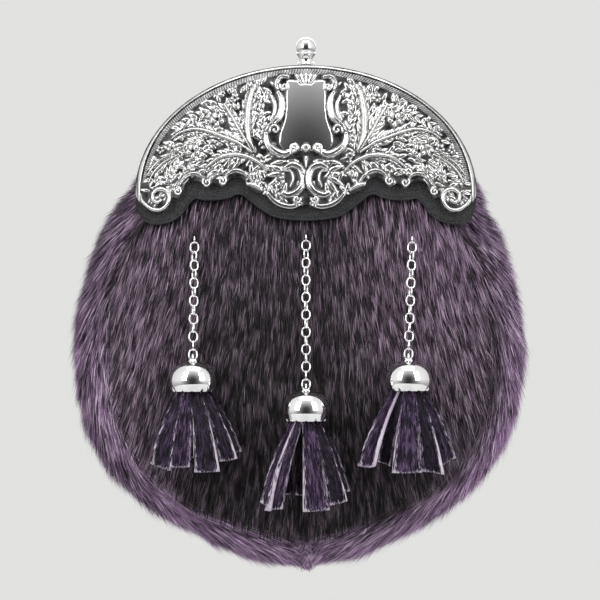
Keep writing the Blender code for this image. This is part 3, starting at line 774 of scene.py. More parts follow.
@dataclass(frozen=True)
class HideFinish:
    """A leather or suede, with its grain."""

    name: str
    colour: Colour
    worn: Colour
    roughness: float
    pebble: float
    crease: float
    bump: float

    def build(self, effects: SharedEffects) -> Material:
        """Make the material.

        Args:
            effects: The shared shader groups.

        Returns:
            The material.
        """
        made, sheet, shader = new_material(self.name)
        grain = sheet.add("ShaderNodeGroup", {
            "Vector": sheet.object_place(), "Pebble Scale": self.pebble,
            "Crease Depth": self.crease}, node_tree=effects.grain)
        share = sheet.spread(grain.outputs["Cloud"], 0.35, 0.7)
        pale = sheet.spread(grain.outputs["Height"], 0.3, 0.9, 0.0, 0.60)
        colour = sheet.blend(sheet.maths("MULTIPLY_ADD", share, 0.5, pale, clamp=True),
                             self.colour, self.worn)
        rough = sheet.spread(grain.outputs["Cloud"], 0.3, 0.7, self.roughness - 0.06,
                             self.roughness + 0.06)
        bump = sheet.add("ShaderNodeBump", {"Height": grain.outputs["Height"],
                                            "Strength": 0.6, "Distance": self.bump})
        sheet.feed(shader, {"Base Color": colour, "Roughness": rough,
                            "Normal": bump.outputs["Normal"]})
        return made


@dataclass(frozen=True)
class PlatingFinish:
    """Bright plating, dark with patina in its recesses and with a painted dark reflection along
    the cantle rim's edge.
    """

    name: str
    plate: Colour
    dark: Colour
    polish: float

    def build(self, effects: SharedEffects) -> Material:
        """Make the material.

        Args:
            effects: The shared shader groups.

        Returns:
            The material, which reads from the mesh how dark its patina and its painted dark
            reflection are.
        """
        made, sheet, shader = new_material(self.name)
        patina = sheet.add("ShaderNodeGroup", {
            "Vector": sheet.object_place(), "Recess": sheet.layer("recess"),
            "Plate": self.plate, "Dark": self.dark, "Polish": self.polish},
            node_tree=effects.patina)
        sheet.feed(shader, {"Base Color": patina.outputs["Color"],
                            "Roughness": patina.outputs["Roughness"]})
        shader.inputs["Metallic"].default_value = 1.0
        return made


class Finishes:
    """Every material of the pouch."""

    def __init__(self) -> None:
        """Build the materials from the shared effects."""
        effects = SharedEffects()
        self.plum = HairFinish("plum_fur", (0.004, 0.003, 0.004), (0.020, 0.014, 0.017),
                               (0.270, 0.178, 0.274), (0.440, 0.330, 0.440)).build(effects)
        self.violet = HairFinish("violet_fur", (0.012, 0.006, 0.014), (0.080, 0.050, 0.080),
                                 (0.620, 0.375, 0.670), (0.780, 0.640, 0.800)).build(effects)
        self.tassel = HairFinish("tassel_fur", (0.006, 0.002, 0.009), (0.020, 0.009, 0.030),
                                 (0.046, 0.020, 0.070), (0.170, 0.105, 0.205)).build(effects)
        # The hide under the fur is nearly black, so that where it shows between the strands it
        # paints the shade deep in the fur
        self.hide = HideFinish("fur_hide", (0.010, 0.007, 0.011), (0.020, 0.013, 0.022), 0.9,
                               900.0, 0.3, 0.0001).build(effects)
        self.leather = HideFinish("black_leather", (0.010, 0.010, 0.011), (0.048, 0.049, 0.053),
                                  0.54, 1050.0, 0.9, 0.00080).build(effects)
        self.suede = HideFinish("lilac_suede", (0.520, 0.430, 0.550), (0.840, 0.770, 0.860), 0.88,
                                2600.0, 0.4, 0.0001).build(effects)
        self.thread = HideFinish("dark_thread", (0.060, 0.058, 0.064), (0.130, 0.125, 0.135), 0.7,
                                 3200.0, 0.5, 0.0001).build(effects)
        self.cast = PlatingFinish("cast_plating", (0.800, 0.805, 0.795), (0.022, 0.023, 0.022),
                                  0.15).build(effects)
        self.polished = PlatingFinish("polished_plating", (0.930, 0.930, 0.925),
                                      (0.030, 0.030, 0.030), 0.035).build(effects)


# Fur

@dataclass(frozen=True)
class HairStyle:
    """How one stretch of fur grows."""

    strands: int
    width: float
    lift: float
    wander: float
    clump: float
    clump_size: float
    roll: float
    seed: int


class HairGrower:
    """Grows flat tapered strands over a hide along its flow."""

    def __init__(self) -> None:
        """Make the strand and the tree once."""
        self.strand = self.build_strand()
        self.tree = self.build_tree()

    def build_strand(self) -> Object:
        """Make one strand, one unit long, that bends up from its root.

        Returns:
            The strand's object, which isn't rendered.
        """
        points = [(-0.42, 0, 0), (0.42, 0, 0), (-0.5, 0.45, 0.68), (0.5, 0.45, 0.68), (0, 1, 1)]
        mesh = mesh_from(points, [(0, 1, 3, 2), (2, 3, 4)])
        store(mesh, along=[0, 0, 0.45, 0.45, 1.0])
        made = place_object("strand", mesh)
        made.hide_render = True
        return made

    def build_tree(self) -> NodeTree:
        """Build the tree that grows strands where the hide is covered.

        Returns:
            The geometry tree.
        """
        tree, start, _ = new_group(
            "grow_strands", "GeometryNodeTree",
            (("Hide", "Geometry", None), ("Strand", "Object", None),
             ("Density", "Float", 1e6), ("Width", "Float", 0.0003),
             ("Lift", "Float", 0.001), ("Wander", "Float", 0.1),
             ("Clump", "Float", 0.1), ("Clump Scale", "Float", 100.0),
             ("Roll", "Float", 0.5), ("Seed", "Int", 1),
             ("Finish", "Material", None)),
            (("Fur", "Geometry"),))
        sheet = NodeSheet(tree)
        sources = start.outputs
        density = sheet.maths("MULTIPLY", sources["Density"], sheet.attribute("cover"))
        spots = sheet.add("GeometryNodeDistributePointsOnFaces",
                          {"Mesh": sources["Hide"], "Density": density, "Seed": sources["Seed"]})
        place = sheet.add("GeometryNodeInputPosition").outputs[0]
        drift = sheet.noise(place, sources["Clump Scale"], 2.0)
        centred = sheet.vector("SUBTRACT", drift.outputs["Color"], (0.5, 0.5, 0.5))
        clumped = sheet.vector("SCALE", centred, scale=sources["Clump"])
        strayed = sheet.vector("SCALE", sheet.random_vector(11), scale=sources["Wander"])
        heading = sheet.vector("ADD", sheet.attribute("flow", "FLOAT_VECTOR"),
                               sheet.vector("ADD", clumped, strayed))
        rolled = sheet.vector("ADD", spots.outputs["Normal"], sheet.vector(
            "SCALE", sheet.random_vector(21), scale=sources["Roll"]))
        turn = sheet.add("FunctionNodeAxesToRotation", {0: heading, 1: rolled},
                         primary_axis="Y", secondary_axis="Z")
        length = sheet.maths("MULTIPLY", sheet.attribute("reach"), sheet.random(0.7, 1.15, 31))
        width = sheet.maths("MULTIPLY", sources["Width"], sheet.random(0.6, 1.35, 32))
        lift = sheet.maths("MULTIPLY", sources["Lift"], sheet.maths(
            "MULTIPLY", sheet.attribute("loft"), sheet.random(0.45, 1.2, 33)))
        strand = sheet.add("GeometryNodeObjectInfo", {"Object": sources["Strand"]})
        grown = sheet.add("GeometryNodeInstanceOnPoints", {
            "Points": spots.outputs["Points"], "Instance": strand.outputs["Geometry"],
            "Rotation": turn, "Scale": sheet.combine("XYZ", width, length, lift)})
        streaks = sheet.noise(sheet.attribute("grain", "FLOAT_VECTOR"), 1000.0, 2.0)
        patches = sheet.spread(streaks.outputs[0], 0.43, 0.58, 0.02, 0.90)
        tone = sheet.maths("ADD", patches, sheet.random(-0.30, 0.30, 41), clamp=True)
        toned = sheet.add("GeometryNodeStoreNamedAttribute",
                          {"Geometry": grown, "Name": "tone", "Value": tone},
                          data_type="FLOAT", domain="INSTANCE")
        sheet.finish_copies(toned, sources["Finish"])
        return tree

    def grow(self, hide: Mesh, style: HairStyle, finish: Material) -> Mesh:
        """Grow fur over a hide.

        Args:
            hide: A mesh with flow, grain, reach, loft, shade and cover stored for each point.
            style: How the fur grows.
            finish: Its material.

        Returns:
            The fur as a plain mesh.
        """
        return run_tree(hide.copy(), self.tree, {
            "Strand": self.strand, "Density": style.strands / self.covered_area(hide),
            "Width": style.width, "Lift": style.lift, "Wander": style.wander,
            "Clump": style.clump, "Clump Scale": 1.0 / style.clump_size, "Roll": style.roll,
            "Seed": style.seed, "Finish": finish})

    def covered_area(self, hide: Mesh) -> float:
        """Measure how much of a hide bears fur.

        Args:
            hide: A mesh with cover stored for each point.

        Returns:
            The covered area in square metres.
        """
        cover = np.zeros(len(hide.vertices), np.float32)
        hide.attributes["cover"].data.foreach_get("value", cover)
        return sum(face.area * float(cover[list(face.vertices)].mean()) for face in hide.polygons)


def leather_edge(x: Array) -> Array:
    """Give the height of the cantle leather's lower edge."""
    share = np.abs(np.asarray(x, float)) / FORM.cantle_half_width
    return FORM.top_z - read_table(CantleLeather.edge_rows, share) * CantleLeather.leather_drop


@dataclass
class FrontPanel:
    """The crowned front panel of short flat fur."""

    finishes: Finishes
    grower: HairGrower
    rounds: int = 200
    steps: int = 46
    sink: float = 0.0012
    lean: float = 0.36
    streak: float = 0.14
    slit_clear: float = 0.0011
    style: HairStyle = HairStyle(65000, 0.00037, 0.0015, 0.11, 0.50, 0.009, 0.40, 7)
    lengths: Table = ((0.0, 0.0100), (0.7, 0.0105), (1.0, 0.0125))

    def hide_grid(self) -> Array:
        """Lay out the hide from the middle of its front, round its edge, to the back's middle.

        Returns:
            Points as rows, columns and three numbers.
        """
        rim = FORM.seam(full_turn(self.rounds))
        shares = np.linspace(0.004, 1.0, self.steps)
        front = [(share, 0.0) for share in shares]
        back = [(share, 1.0) for share in shares[::-5]]
        rows = []
        for share, depth in front + [(1.0, 0.5)] + back:
            x = rim[:, 0] * share
            z = FORM.centre_z + (rim[:, 1] - FORM.centre_z) * share
            y = FORM.belly(x, z) + self.sink + (FORM.fur_wall - self.sink) * depth
            rows.append(points_of(x, y, z))
        return np.array(rows)

    def flow(self, x: Array, z: Array) -> Array:
        """Give the way that the hair lies: down, and a little outwards at the sides.

        Args:
            x: Where across.
            z: How high.

        Returns:
            A vector for each place, along the belly.
        """
        lean = self.lean * np.clip(x / FORM.radius, -1, 1)
        lean = lean + 0.05 * np.sin(z * 95 + x * 40)
        across, down = np.sin(lean), -np.cos(lean)
        step = 0.001
        slope = (FORM.belly(x + across * step, z + down * step) - FORM.belly(x, z)) / step
        return points_of(across, slope, down)

    def build(self, hangings: tuple[Hanging, ...]) -> None:
        """Build the hide and grow its fur, except at the chains' slits.

        Args:
            hangings: The three chains' places.
        """
        grid = self.hide_grid()
        hide = grid_mesh(grid)
        x, z = grid[..., 0].ravel(), grid[..., 2].ravel()
        ring = np.repeat(np.arange(len(grid)), self.rounds)
        share = np.clip(ring / (self.steps - 1), 0, 1)
        cover = np.where(ring < self.steps - 1, 1.0, 0.0)
        cover *= 1 - smooth_step(0.0006, 0.0020, z - leather_edge(x))
        # Bare round each slit, so that the nearly black hide shows there as the painted shade of
        # the fur's parting over the chain
        for row in hangings:
            across, up = row.slit
            away = np.hypot(x - across * FORM.radius,
                            (z - FORM.centre_z - up * FORM.radius) * 0.45)
            cover *= smooth_step(self.slit_clear * 0.6, self.slit_clear, away)
        # Lighter to the right, at the sides and high up, darker low down and by the middle
        aside, over = np.abs(x), z - FORM.centre_z
        low = smooth_step(-0.02, -0.07, over)
        shade = 0.04 + 0.26 * smooth_step(0.0, 0.04, x) + 0.42 * smooth_step(0.030, 0.072, aside)
        shade += 0.12 * smooth_step(0.0, 0.05, over) - 0.25 * low
        shade -= 0.20 * smooth_step(0.0, -0.03, over) * (1 - smooth_step(0.03, 0.06, aside))
        shade -= 0.46 * smooth_step(0.030, 0.070, x) * smooth_step(0.04, -0.02, over)
        shade -= 0.20 * np.exp(-((x + 0.058) / 0.012) ** 2 - ((over + 0.033) / 0.018) ** 2)
        shade += 0.14 * smooth_step(0.050, 0.074, x) * smooth_step(0.02, 0.05, over)
        shade += 0.12 * smooth_step(-0.030, -0.058, x) * smooth_step(-0.01, -0.045, over)
        shade += 0.10 * smooth_step(0.018, 0.04, x)
        # The tone's streaks follow the way that the hair lies
        lean = self.lean * (z - FORM.top_z) / FORM.radius
        path = x * np.exp(lean) - 0.0005 * np.cos(z * 95 + x * 40)
        store(hide, flow=self.flow(x, z), grain=points_of(path, 0.02, z * self.streak),
              reach=read_table(self.lengths, share) * (1 - 0.25 * low), loft=1.0 + 0.3 * share,
              shade=np.clip(shade, 0, 1), cover=cover)
        fur = self.grower.grow(hide, self.style, self.finishes.plum)
        hand_over("panel_fur", fur, self.finishes.plum, Slot.PLUM_FUR, "front_panel")
        hand_over("panel_hide", hide, self.finishes.hide, Slot.PLUM_FUR)


@dataclass
class BorderFur:
    """The longer fur that runs round the pouch from the front panel to the back."""

    finishes: Finishes
    grower: HairGrower
    rounds: int = 300
    steps: int = 26
    sink: float = 0.0026
    wall: float = 0.0016
    streak: float = 0.10
    section: Table = ((0.0, 0.0), (0.50, 0.08), (0.88, 0.28), (1.0, 0.60), (0.91, 1.0))
    style: HairStyle = HairStyle(55000, 0.00040, 0.0032, 0.12, 0.50, 0.012, 0.45, 19)
    tilt: Table = ((0, 4), (20, 2), (40, 0), (70, 4), (100, 3), (128, 0), (180, 0))
    # How light the fur is painted by degrees from the lowest point to the right, near the seam
    # and out
    # These set how far the fur goes from its inner to its outer colour. They are also painted
    # light and shade: the fur is lighter or darker round the border as the lamps fall, and the
    # low values near the seam on the right are a painted shadow of the panel's edge
    seam_tone_and_painted_light: Table = (
        (-180, 0.20), (-122, 0.30), (-100, 0.16), (-80, 0.60), (-35, 0.62), (0, 0.36),
        (50, 0.06), (85, 0.03), (105, 0.16), (125, 0.20), (180, 0.20))
    rim_tone_and_painted_light: Table = (
        (-180, 0.30), (-125, 0.16), (-80, 0.42), (-58, 0.38), (-38, 0.95), (0, 0.76),
        (60, 1.0), (90, 0.74), (125, 0.38), (180, 0.30))

    def section_points(self) -> Array:
        """Give the border's section as smooth shares of the way out and of the way back.

        Returns:
            One row for each point of the section.
        """
        rows = through_points(np.array(self.section), 12)
        along = way_along(rows)
        even = np.linspace(0, along[-1], self.steps)
        return points_of(*(np.interp(even, along, part) for part in rows.T))

    def hide_grid(self) -> tuple[Array, Array]:
        """Lay out the hide's outer face round the pouch.

        Returns:
            Points as angles, section steps and three numbers, and the angles.
        """
        angles = np.linspace(-math.pi, math.pi, self.rounds, endpoint=False)
        seam, widest = FORM.seam(angles), FORM.bag(angles)
        start = FORM.belly(seam[:, 0], seam[:, 1]) + FORM.fur_wall + FORM.seam_gap
        end = FORM.back_face - FORM.leather_wall - FORM.seam_gap
        section = self.section_points()
        out, back = section[:, 0][None, :, None], section[:, 1][None, :]
        flat = seam[:, None, :] * (1 - out) + widest[:, None, :] * out
        depth = start[:, None] + (end - start)[:, None] * back
        return points_of(flat[..., 0], depth, flat[..., 1]), angles

    def flow(self, grid: Array, normal: Array, angles: Array) -> Array:
        """Give the way that the hair lies: round towards the lowest point and outwards.

        Args:
            grid: The hide's points.
            normal: The hide's normals.
            angles: The angle of each row.

        Returns:
            A vector for each point.
        """
        angles = angles[:, None]
        turned = np.degrees(angles)
        towards = -np.tanh(angles / 0.10)
        tangent = points_of(np.cos(angles) * towards, 0.0, np.sin(angles) * towards)
        outward = unit(np.gradient(grid, axis=1))
        share = np.linspace(0, 1, self.steps)[None, :]
        lean = read_table(self.tilt, np.abs(turned)) + 15 * share ** 1.5
        lean = lean - 16 * np.exp(-((turned + 38) / 22) ** 2)
        lean = np.radians(lean + 11 * smooth_step(55, 85, turned) * share)
        lean = lean + 0.05 * np.sin(angles * 23) + 0.06 * np.exp(-(angles / 0.16) ** 2)
        flow = tangent * np.cos(lean)[..., None] + outward * np.sin(lean)[..., None]
        edge = np.exp(-((share - 0.66) / 0.2) ** 2) * 0.20
        return flow + normal * edge[..., None]

    def build(self) -> None:
        """Build the hide and grow its fur in a left and a right half."""
        outer, angles = self.hide_grid()
        normal = unit(np.cross(np.gradient(outer, axis=1), np.gradient(outer, axis=0)))
        middle = np.array([0, -0.02, FORM.centre_z])
        normal *= np.sign(np.sum(normal * (outer - middle), axis=2, keepdims=True))
        skin = outer - normal * self.sink
        skin[:, 0] = outer[:, 0] + (0, 0.0004, 0)
        skin[:, -1] = outer[:, -1] - normal[:, -1] * self.sink * 0.5
        inner = skin - normal * self.wall
        grid = np.concatenate([skin, inner[:, ::-1]], axis=1)
        hide = grid_mesh(grid, ring=True)
        share = np.linspace(0, 1, self.steps)
        flow = self.flow(outer, normal, angles)
        signed = np.degrees(angles)[:, None]
        turned = np.abs(signed)
        # Shorter and flatter where the cantle covers it, and at the lowest point
        upper = smooth_step(100, 128, turned)
        reach = 0.0155 - 0.0035 * upper - 0.005 * (1 - share)[None, :] ** 2
        reach = reach * (1 - 0.55 * smooth_step(130, 140, turned))
        reach = reach * (1 - 0.52 * smooth_step(18, 4, turned))
        cover = np.tile(1 - 0.35 * smooth_step(131, 140, turned), self.steps)
        cover[:, -2:] *= 0.4
        # Painted light and shade round the border, blended from the seam out to the rim
        near, far = read_table(self.seam_tone_and_painted_light, signed), read_table(self.rim_tone_and_painted_light, signed)
        shade = near * smooth_step(0.0, 0.25, share)
        shade = np.clip(shade + (far - near) * smooth_step(0.25, 0.55, share), 0, 1)
        loft = (0.45 + 0.85 * share[None, :]) * (1 - 0.5 * smooth_step(128, 138, turned))
        loft = loft * (1 - 0.55 * np.exp(-((signed + 36) / 16) ** 2))
        loft = loft + 0.5 * np.exp(-((signed - 121) / 9) ** 2) * share[None, :]
        steps = np.linalg.norm(np.diff(grid, axis=1, prepend=grid[:, :1]), axis=2)
        round_way = FORM.radius * np.abs(angles)[:, None]
        store(hide, grain=points_of(np.cumsum(steps, axis=1), np.sign(grid[..., 0]) * 0.05,
                                    round_way * self.streak),
              flow=np.concatenate([flow, flow[:, ::-1]], axis=1), reach=self.both(reach, 0.01),
              loft=self.both(loft, 1.0), shade=self.both(shade, 0.5))
        for side in Side:
            half = hide.copy()
            store(half, cover=self.both(cover, 0.0) * (grid[..., 0] * side.value >= 0))
            name = "border_fur_" + side.name.lower()
            nodes = ("fur_border",) if side is Side.LEFT else ()
            fur = self.grower.grow(half, self.style, self.finishes.violet)
            hand_over(name, fur, self.finishes.violet, Slot.VIOLET_FUR, *nodes)
            bpy.data.meshes.remove(half)
        hand_over("border_hide", hide, self.finishes.hide, Slot.VIOLET_FUR)

    def both(self, values: Array, behind: float) -> Array:
        """Give the inner face one value behind the outer face's own."""
        return np.concatenate([values, np.full(values.shape, behind)], axis=1)


# The cast cantle

class ReliefSheet:
    """A height map of cast ornament, in millimetres across and down from the cantle's top."""

    def __init__(self, half_width: float, height: float, step: float) -> None:
        """Lay out an empty sheet.

        Args:
            half_width: From the middle to each side, in millimetres.
            height: From the bottom to the top, in millimetres.
            step: Between two points of the sheet, in millimetres.
        """
        self.step = step
        self.across = np.arange(-half_width, half_width + step, step)
        self.down = np.arange(-1.0, height + step, step)
        self.heights = np.zeros((len(self.down), len(self.across)))

    def window(self, points: Array, margin: float) -> tuple[slice, slice]:
        """Find the part of the sheet round some points.

        Args:
            points: The points, in millimetres.
            margin: The room left round them.

        Returns:
            The rows and the columns of that part.
        """
        corner = np.array([self.across[0], self.down[0]])
        low = ((points.min(0) - margin - corner) / self.step).astype(int)
        high = ((points.max(0) + margin - corner) / self.step).astype(int) + 2
        (left, top), (right, foot) = np.maximum([low, high], 0)
        return slice(top, foot), slice(left, right)

    def stroke(self, points: Array, widths: Array, rises: Array,
               groove: float = 0.0, moat: float = 0.0) -> None:
        """Raise a rounded ridge along a line.

        Args:
            points: Points across and down, in millimetres.
            widths: The ridge's width at each point.
            rises: Its height at each point.
            groove: How deep the line along its middle is cut, as a share of its height.
            moat: How far round it the ground is cleared.
        """
        points = np.asarray(points, float)
        widths = np.broadcast_to(np.asarray(widths, float), len(points))
        rises = np.broadcast_to(np.asarray(rises, float), len(points))
        rows, columns = self.window(points, widths.max() / 2 + moat)
        gx, gy = np.meshgrid(self.across[columns], self.down[rows])
        best = np.full(gx.shape, 1e9)
        half = np.ones(gx.shape)
        rise = np.zeros(gx.shape)
        for i in range(len(points) - 1):
            a, line = points[i], points[i + 1] - points[i]
            length = max(float(line @ line), 1e-9)
            t = np.clip(((gx - a[0]) * line[0] + (gy - a[1]) * line[1]) / length, 0, 1)
            away = np.hypot(gx - a[0] - t * line[0], gy - a[1] - t * line[1])
            reach = (widths[i] * (1 - t) + widths[i + 1] * t) / 2
            score = away / np.maximum(reach, 0.05)
            closer = score < best
            best = np.where(closer, score, best)
            half = np.where(closer, reach, half)
            rise = np.where(closer, rises[i] * (1 - t) + rises[i + 1] * t, rise)
        ridge = rise * np.sqrt(np.clip(1 - best ** 2, 0, 1))
        if groove:
            ridge = ridge * (1 - groove * np.exp(-(best / 0.26) ** 2))
        target = self.heights[rows, columns]
        if moat:
            clear = np.clip((best - 1) * half / moat, 0, 1)
            target *= clear * clear * (3 - 2 * clear)
            self.heights[rows, columns] = np.where(best < 1, ridge, target)
        else:
            self.heights[rows, columns] = np.maximum(target, ridge)

    def leaf(self, root: Array, heading: float, length: float, width: float,
             rise: float, curl: float = 0.0) -> None:
        """Raise a pointed leaf with a vein.

        Args:
            root: Where it starts, across and down.
            heading: Its direction in radians from across, turning down.
            length: Its length in millimetres.
            width: Its width.
            rise: Its height.
            curl: How much it turns along its length, in radians.
        """
        steps = np.linspace(0, 1, 6)
        turn = heading + curl * steps
        moves = points_of(np.cos(turn), np.sin(turn)) * length / 5
        points = np.asarray(root, float) + np.vstack([[0, 0], np.cumsum(moves[:-1], axis=0)])
        shape = np.sin(np.pi * (0.12 + 0.86 * steps) ** 0.8)
        self.stroke(points, np.maximum(width * shape, 0.12), rise * (0.55 + 0.45 * shape),
                    groove=0.45, moat=0.22)

    def flower(self, centre: tuple[float, float], size: float, rise: float) -> None:
        """Raise a round flower with petals and a sunk middle.

        Args:
            centre: Its middle, in millimetres.
            size: Its radius.
            rise: Its height.
        """
        for turn in full_turn(5) + 0.4:
            away = np.array([math.cos(turn), math.sin(turn)])
            middle = np.asarray(centre) + away * size * 0.62
            self.stroke(np.array([middle - away * size * 0.12, middle + away * size * 0.12]),
                        size * 0.92, rise, moat=0.2)
        rows, columns = self.window(np.array([centre]), size)
        gx, gy = np.meshgrid(self.across[columns], self.down[rows])
        away = np.hypot(gx - centre[0], gy - centre[1])
        self.heights[rows, columns] *= smooth_step(size * 0.14, size * 0.30, away)

    def ring(self, centre: tuple[float, float], radius: float, width: float, rise: float,
             moat: float) -> None:
        """Raise a ring.

        Args:
            centre: Its middle, in millimetres.
            radius: Its middle line's radius.
            width: Its wire's width.
            rise: Its height.
            moat: The groove's depth beside it.
        """
        turns = np.linspace(0, 2 * math.pi, 22)
        points = np.asarray(centre) + radius * points_of(np.cos(turns), np.sin(turns))
        self.stroke(points, width, rise, moat=moat)

    def curl(self, centre: tuple[float, float], radius: float, width: float, rise: float,
             start: float, hand: int) -> None:
        """Raise a small spiral that ends a scroll.

        Args:
            centre: Its middle, across and down.
            radius: Its outer radius.
            width: The ridge's width where it starts.
            rise: The ridge's height.
            start: Where its outer end lies, in degrees from across, turning down.
            hand: 1 where it turns down first and -1 where it turns up.
        """
        share = np.linspace(0, 1, 26)
        turns = math.radians(start) + hand * share * math.radians(440)
        reach = radius * (1 - 0.86 * share)
        points = np.asarray(centre) + points_of(reach * np.cos(turns), reach * np.sin(turns))
        self.stroke(points, width * (1 - 0.3 * share), rise, moat=0.25)

    def blurred(self, reach: float) -> Array:
        """Give the heights averaged over a reach in millimetres.

        Args:
            reach: How far the average goes.

        Returns:
            The averaged heights.
        """
        span = max(int(reach / self.step), 1)
        kernel = np.hanning(2 * span + 3)[1:-1]
        kernel /= kernel.sum()
        padded = np.pad(self.heights, span, mode="edge")
        rows = np.apply_along_axis(np.convolve, 1, padded, kernel, mode="valid")
        return np.apply_along_axis(np.convolve, 0, rows, kernel, mode="valid")

    def read(self, values: Array, across: Array, down: Array) -> Array:
        """Read a map of the sheet between its points.

        Args:
            values: One value for each point of the sheet.
            across, down: The places to read at, in millimetres.

        Returns:
            A value for each place.
        """
        u = np.clip((across - self.across[0]) / self.step, 0, len(self.across) - 1.001)
        v = np.clip((down - self.down[0]) / self.step, 0, len(self.down) - 1.001)
        i, j = v.astype(int), u.astype(int)
        s, t = v - i, u - j
        return (values[i, j] * (1 - s) * (1 - t) + values[i, j + 1] * (1 - s) * t
                + values[i + 1, j] * s * (1 - t) + values[i + 1, j + 1] * s * t)


@dataclass
class Cantle:
    """The cast cantle: a curved plate with a deep rim, all its ornament in one piece."""

    finishes: Finishes
    columns: int = 540
    rows: int = 158
    rim_depth: float = 0.010
    half: float = FORM.cantle_half_width * 1000
    arc: float = FORM.cantle_arc * 1000
    side_margin: float = 0.002
    hatch_turns: float = 372.0
    band_end: tuple[float, float] = (3.9, 4.3)
    spray_root: tuple[float, float] = (22.0, 38.0)
    fillers: int = 800
    ground_level: float = 0.18
    pounce_depth: float = 0.16
    flange_scale: float = 0.969
    narrow: float = 0.991
    edge_rows: Table = (
        (0, 59), (2.1, 60.1), (6.7, 61.1), (10.9, 60.3), (14.3, 58.4), (17.6, 55.4),
        (20.6, 54), (23.5, 52.9), (25, 51.9), (25.9, 49.1), (29, 47.5), (31.9, 48.1),
        (33, 50.2), (35.3, 51.9), (37.8, 50.6), (39.1, 50), (41.8, 52.6), (44.1, 50.6),
        (45.6, 49.1), (48.7, 49.1), (51.2, 50.6), (52.1, 53.8), (54.2, 56.5), (56.3, 56),
        (57, 58), (58.4, 60.9), (61.3, 62.6), (64.3, 62.5), (67.9, 60.3), (70.2, 58.4),
        (71.3, 57.1), (72.4, 55.2))
    # Each scroll: points across and down in millimetres, with width, height, groove and moat
    scrolls: tuple = (
        # The cartouche's frame, from its crown to its foot
        (((7.6, 5.2), (10.6, 5.2), (12.4, 7.8), (12, 10.4)), 2.5, 1.8, 0.3, 0.5),
        (((11.8, 11.8), (10.6, 14), (10.2, 18.6), (11.6, 22.6), (15.4, 26.2), (17.2, 29.6)),
         3, 2.1, 0.35, 0.5),
        (((14.6, 13.4), (13.2, 16.6), (13.4, 20.4), (15, 23.4)), 1.9, 1.1, 0, 0.2),
        (((17, 29.4), (16.4, 33.4), (13.6, 36.6), (9.6, 38.3), (6.6, 37.2)),
         3.5, 2.2, 0.30, 0.5),
        # The paired shells under the cartouche
        (((8.6, 43.6), (6, 42.4), (2.9, 43.6), (1.3, 46.8), (1.3, 50.6), (3.6, 53.8),
          (7.2, 55.2), (9.8, 54.4)), 3.4, 2.2, 0.25, 0.5),
        (((9.2, 44.6), (6.4, 45.2), (5.4, 48.4), (6.6, 51.6)), 1.2, 1.1, 0, 0.2),
        (((16.2, 54.6), (13.4, 57.8), (9.4, 59.7), (5.6, 60), (2.2, 58.6)), 2.5, 1.8, 0.35, 0.5),
        # The sweeps along the lower edge
        (((25, 50.4), (22, 51), (18.6, 53)), 1.8, 1.5, 0, 0.3),
        (((22.6, 49.6), (25.2, 46.6), (29, 44.9), (32.6, 45.9), (34.4, 48.4)),
         1.7, 1.7, 0.4, 0.4),
        (((16.6, 44.6), (20.6, 41.2), (25.6, 38.8), (31.4, 38.2), (37, 39.6), (42.2, 43.4)),
         1.9, 1.7, 0, 0.45),
        (((43.2, 49.2), (44.8, 46.8), (48.2, 46.2), (51.6, 48), (54, 51.4), (54.6, 54.2)),
         1.7, 1.7, 0.4, 0.4),
        # The stems of the sprays
        (((22.4, 36.4), (24.4, 30), (24.8, 24), (24.4, 17.4), (23, 11.6), (21.6, 8.8)),
         2.8, 2.1, 0, 0.4),
        (((22.6, 36.6), (27, 29.6), (30.6, 23.2), (34.6, 16.6)), 1.2, 1.4, 0, 0.3),
        (((23, 37), (29, 33), (35, 30.6), (41, 28.4), (47.2, 27.2), (53, 28.6),
          (57, 31.2)), 1.5, 1.7, 0, 0.4),
        (((54, 38), (60.4, 41.4), (64.8, 46), (66.6, 49.8)), 1.3, 1.5, 0, 0.3),
        (((56.6, 37.2), (63.4, 41.6), (67.4, 46.6)), 1, 1.2, 0, 0.2),
        # The spiral of the end lobe, which the rim runs into
        (((70.9, 46), (71, 53), (69.4, 57.4), (66.2, 60.6), (62.2, 61.4), (59, 59.4),
          (57.8, 56.2), (59.2, 53.4), (62.2, 52.6), (64.6, 54.2), (64.8, 56.8), (63, 58.2),
          (61.4, 57.2)), 2.2, 2, 0, 0.35),
    )
    # Each spray: the stem's points, the leaf's length and width, its spread and which sides
    sprays: tuple = (
        (((23.4, 33), (24.7, 26), (24.5, 18), (22.2, 9.6)), 7.4, 2.5, 30, 8),
        (((24, 34), (28.6, 26.6), (34, 17.4)), 7, 2.3, 30, 7),
        (((25.4, 35.6), (31, 32.2), (38, 29.4), (47, 27.2), (56, 30.6)), 6.2, 2.1, 32, 10),
        (((25.6, 38.8), (31.4, 38.2), (37, 39.6), (43, 44)), 5.2, 1.9, 36, 6),
        (((42.4, 31.6), (48, 33), (53, 37)), 5, 1.9, 36, 5),
        (((54, 38), (60.4, 41.4), (66.6, 49.8)), 5.6, 2, 36, 6),
        (((52, 52), (51.2, 46.6), (47.4, 42.4)), 4.6, 1.8, 36, 5),
        (((58.4, 51), (57, 46), (53.6, 41)), 4.8, 1.8, 34, 5),
        (((36, 19.6), (43, 21), (50, 23.8), (56, 27.6)), 4.6, 1.8, 40, 7),
        (((19.6, 33), (18.6, 27), (19.8, 20), (18.4, 12)), 4.6, 1.8, 36, 8),
    )
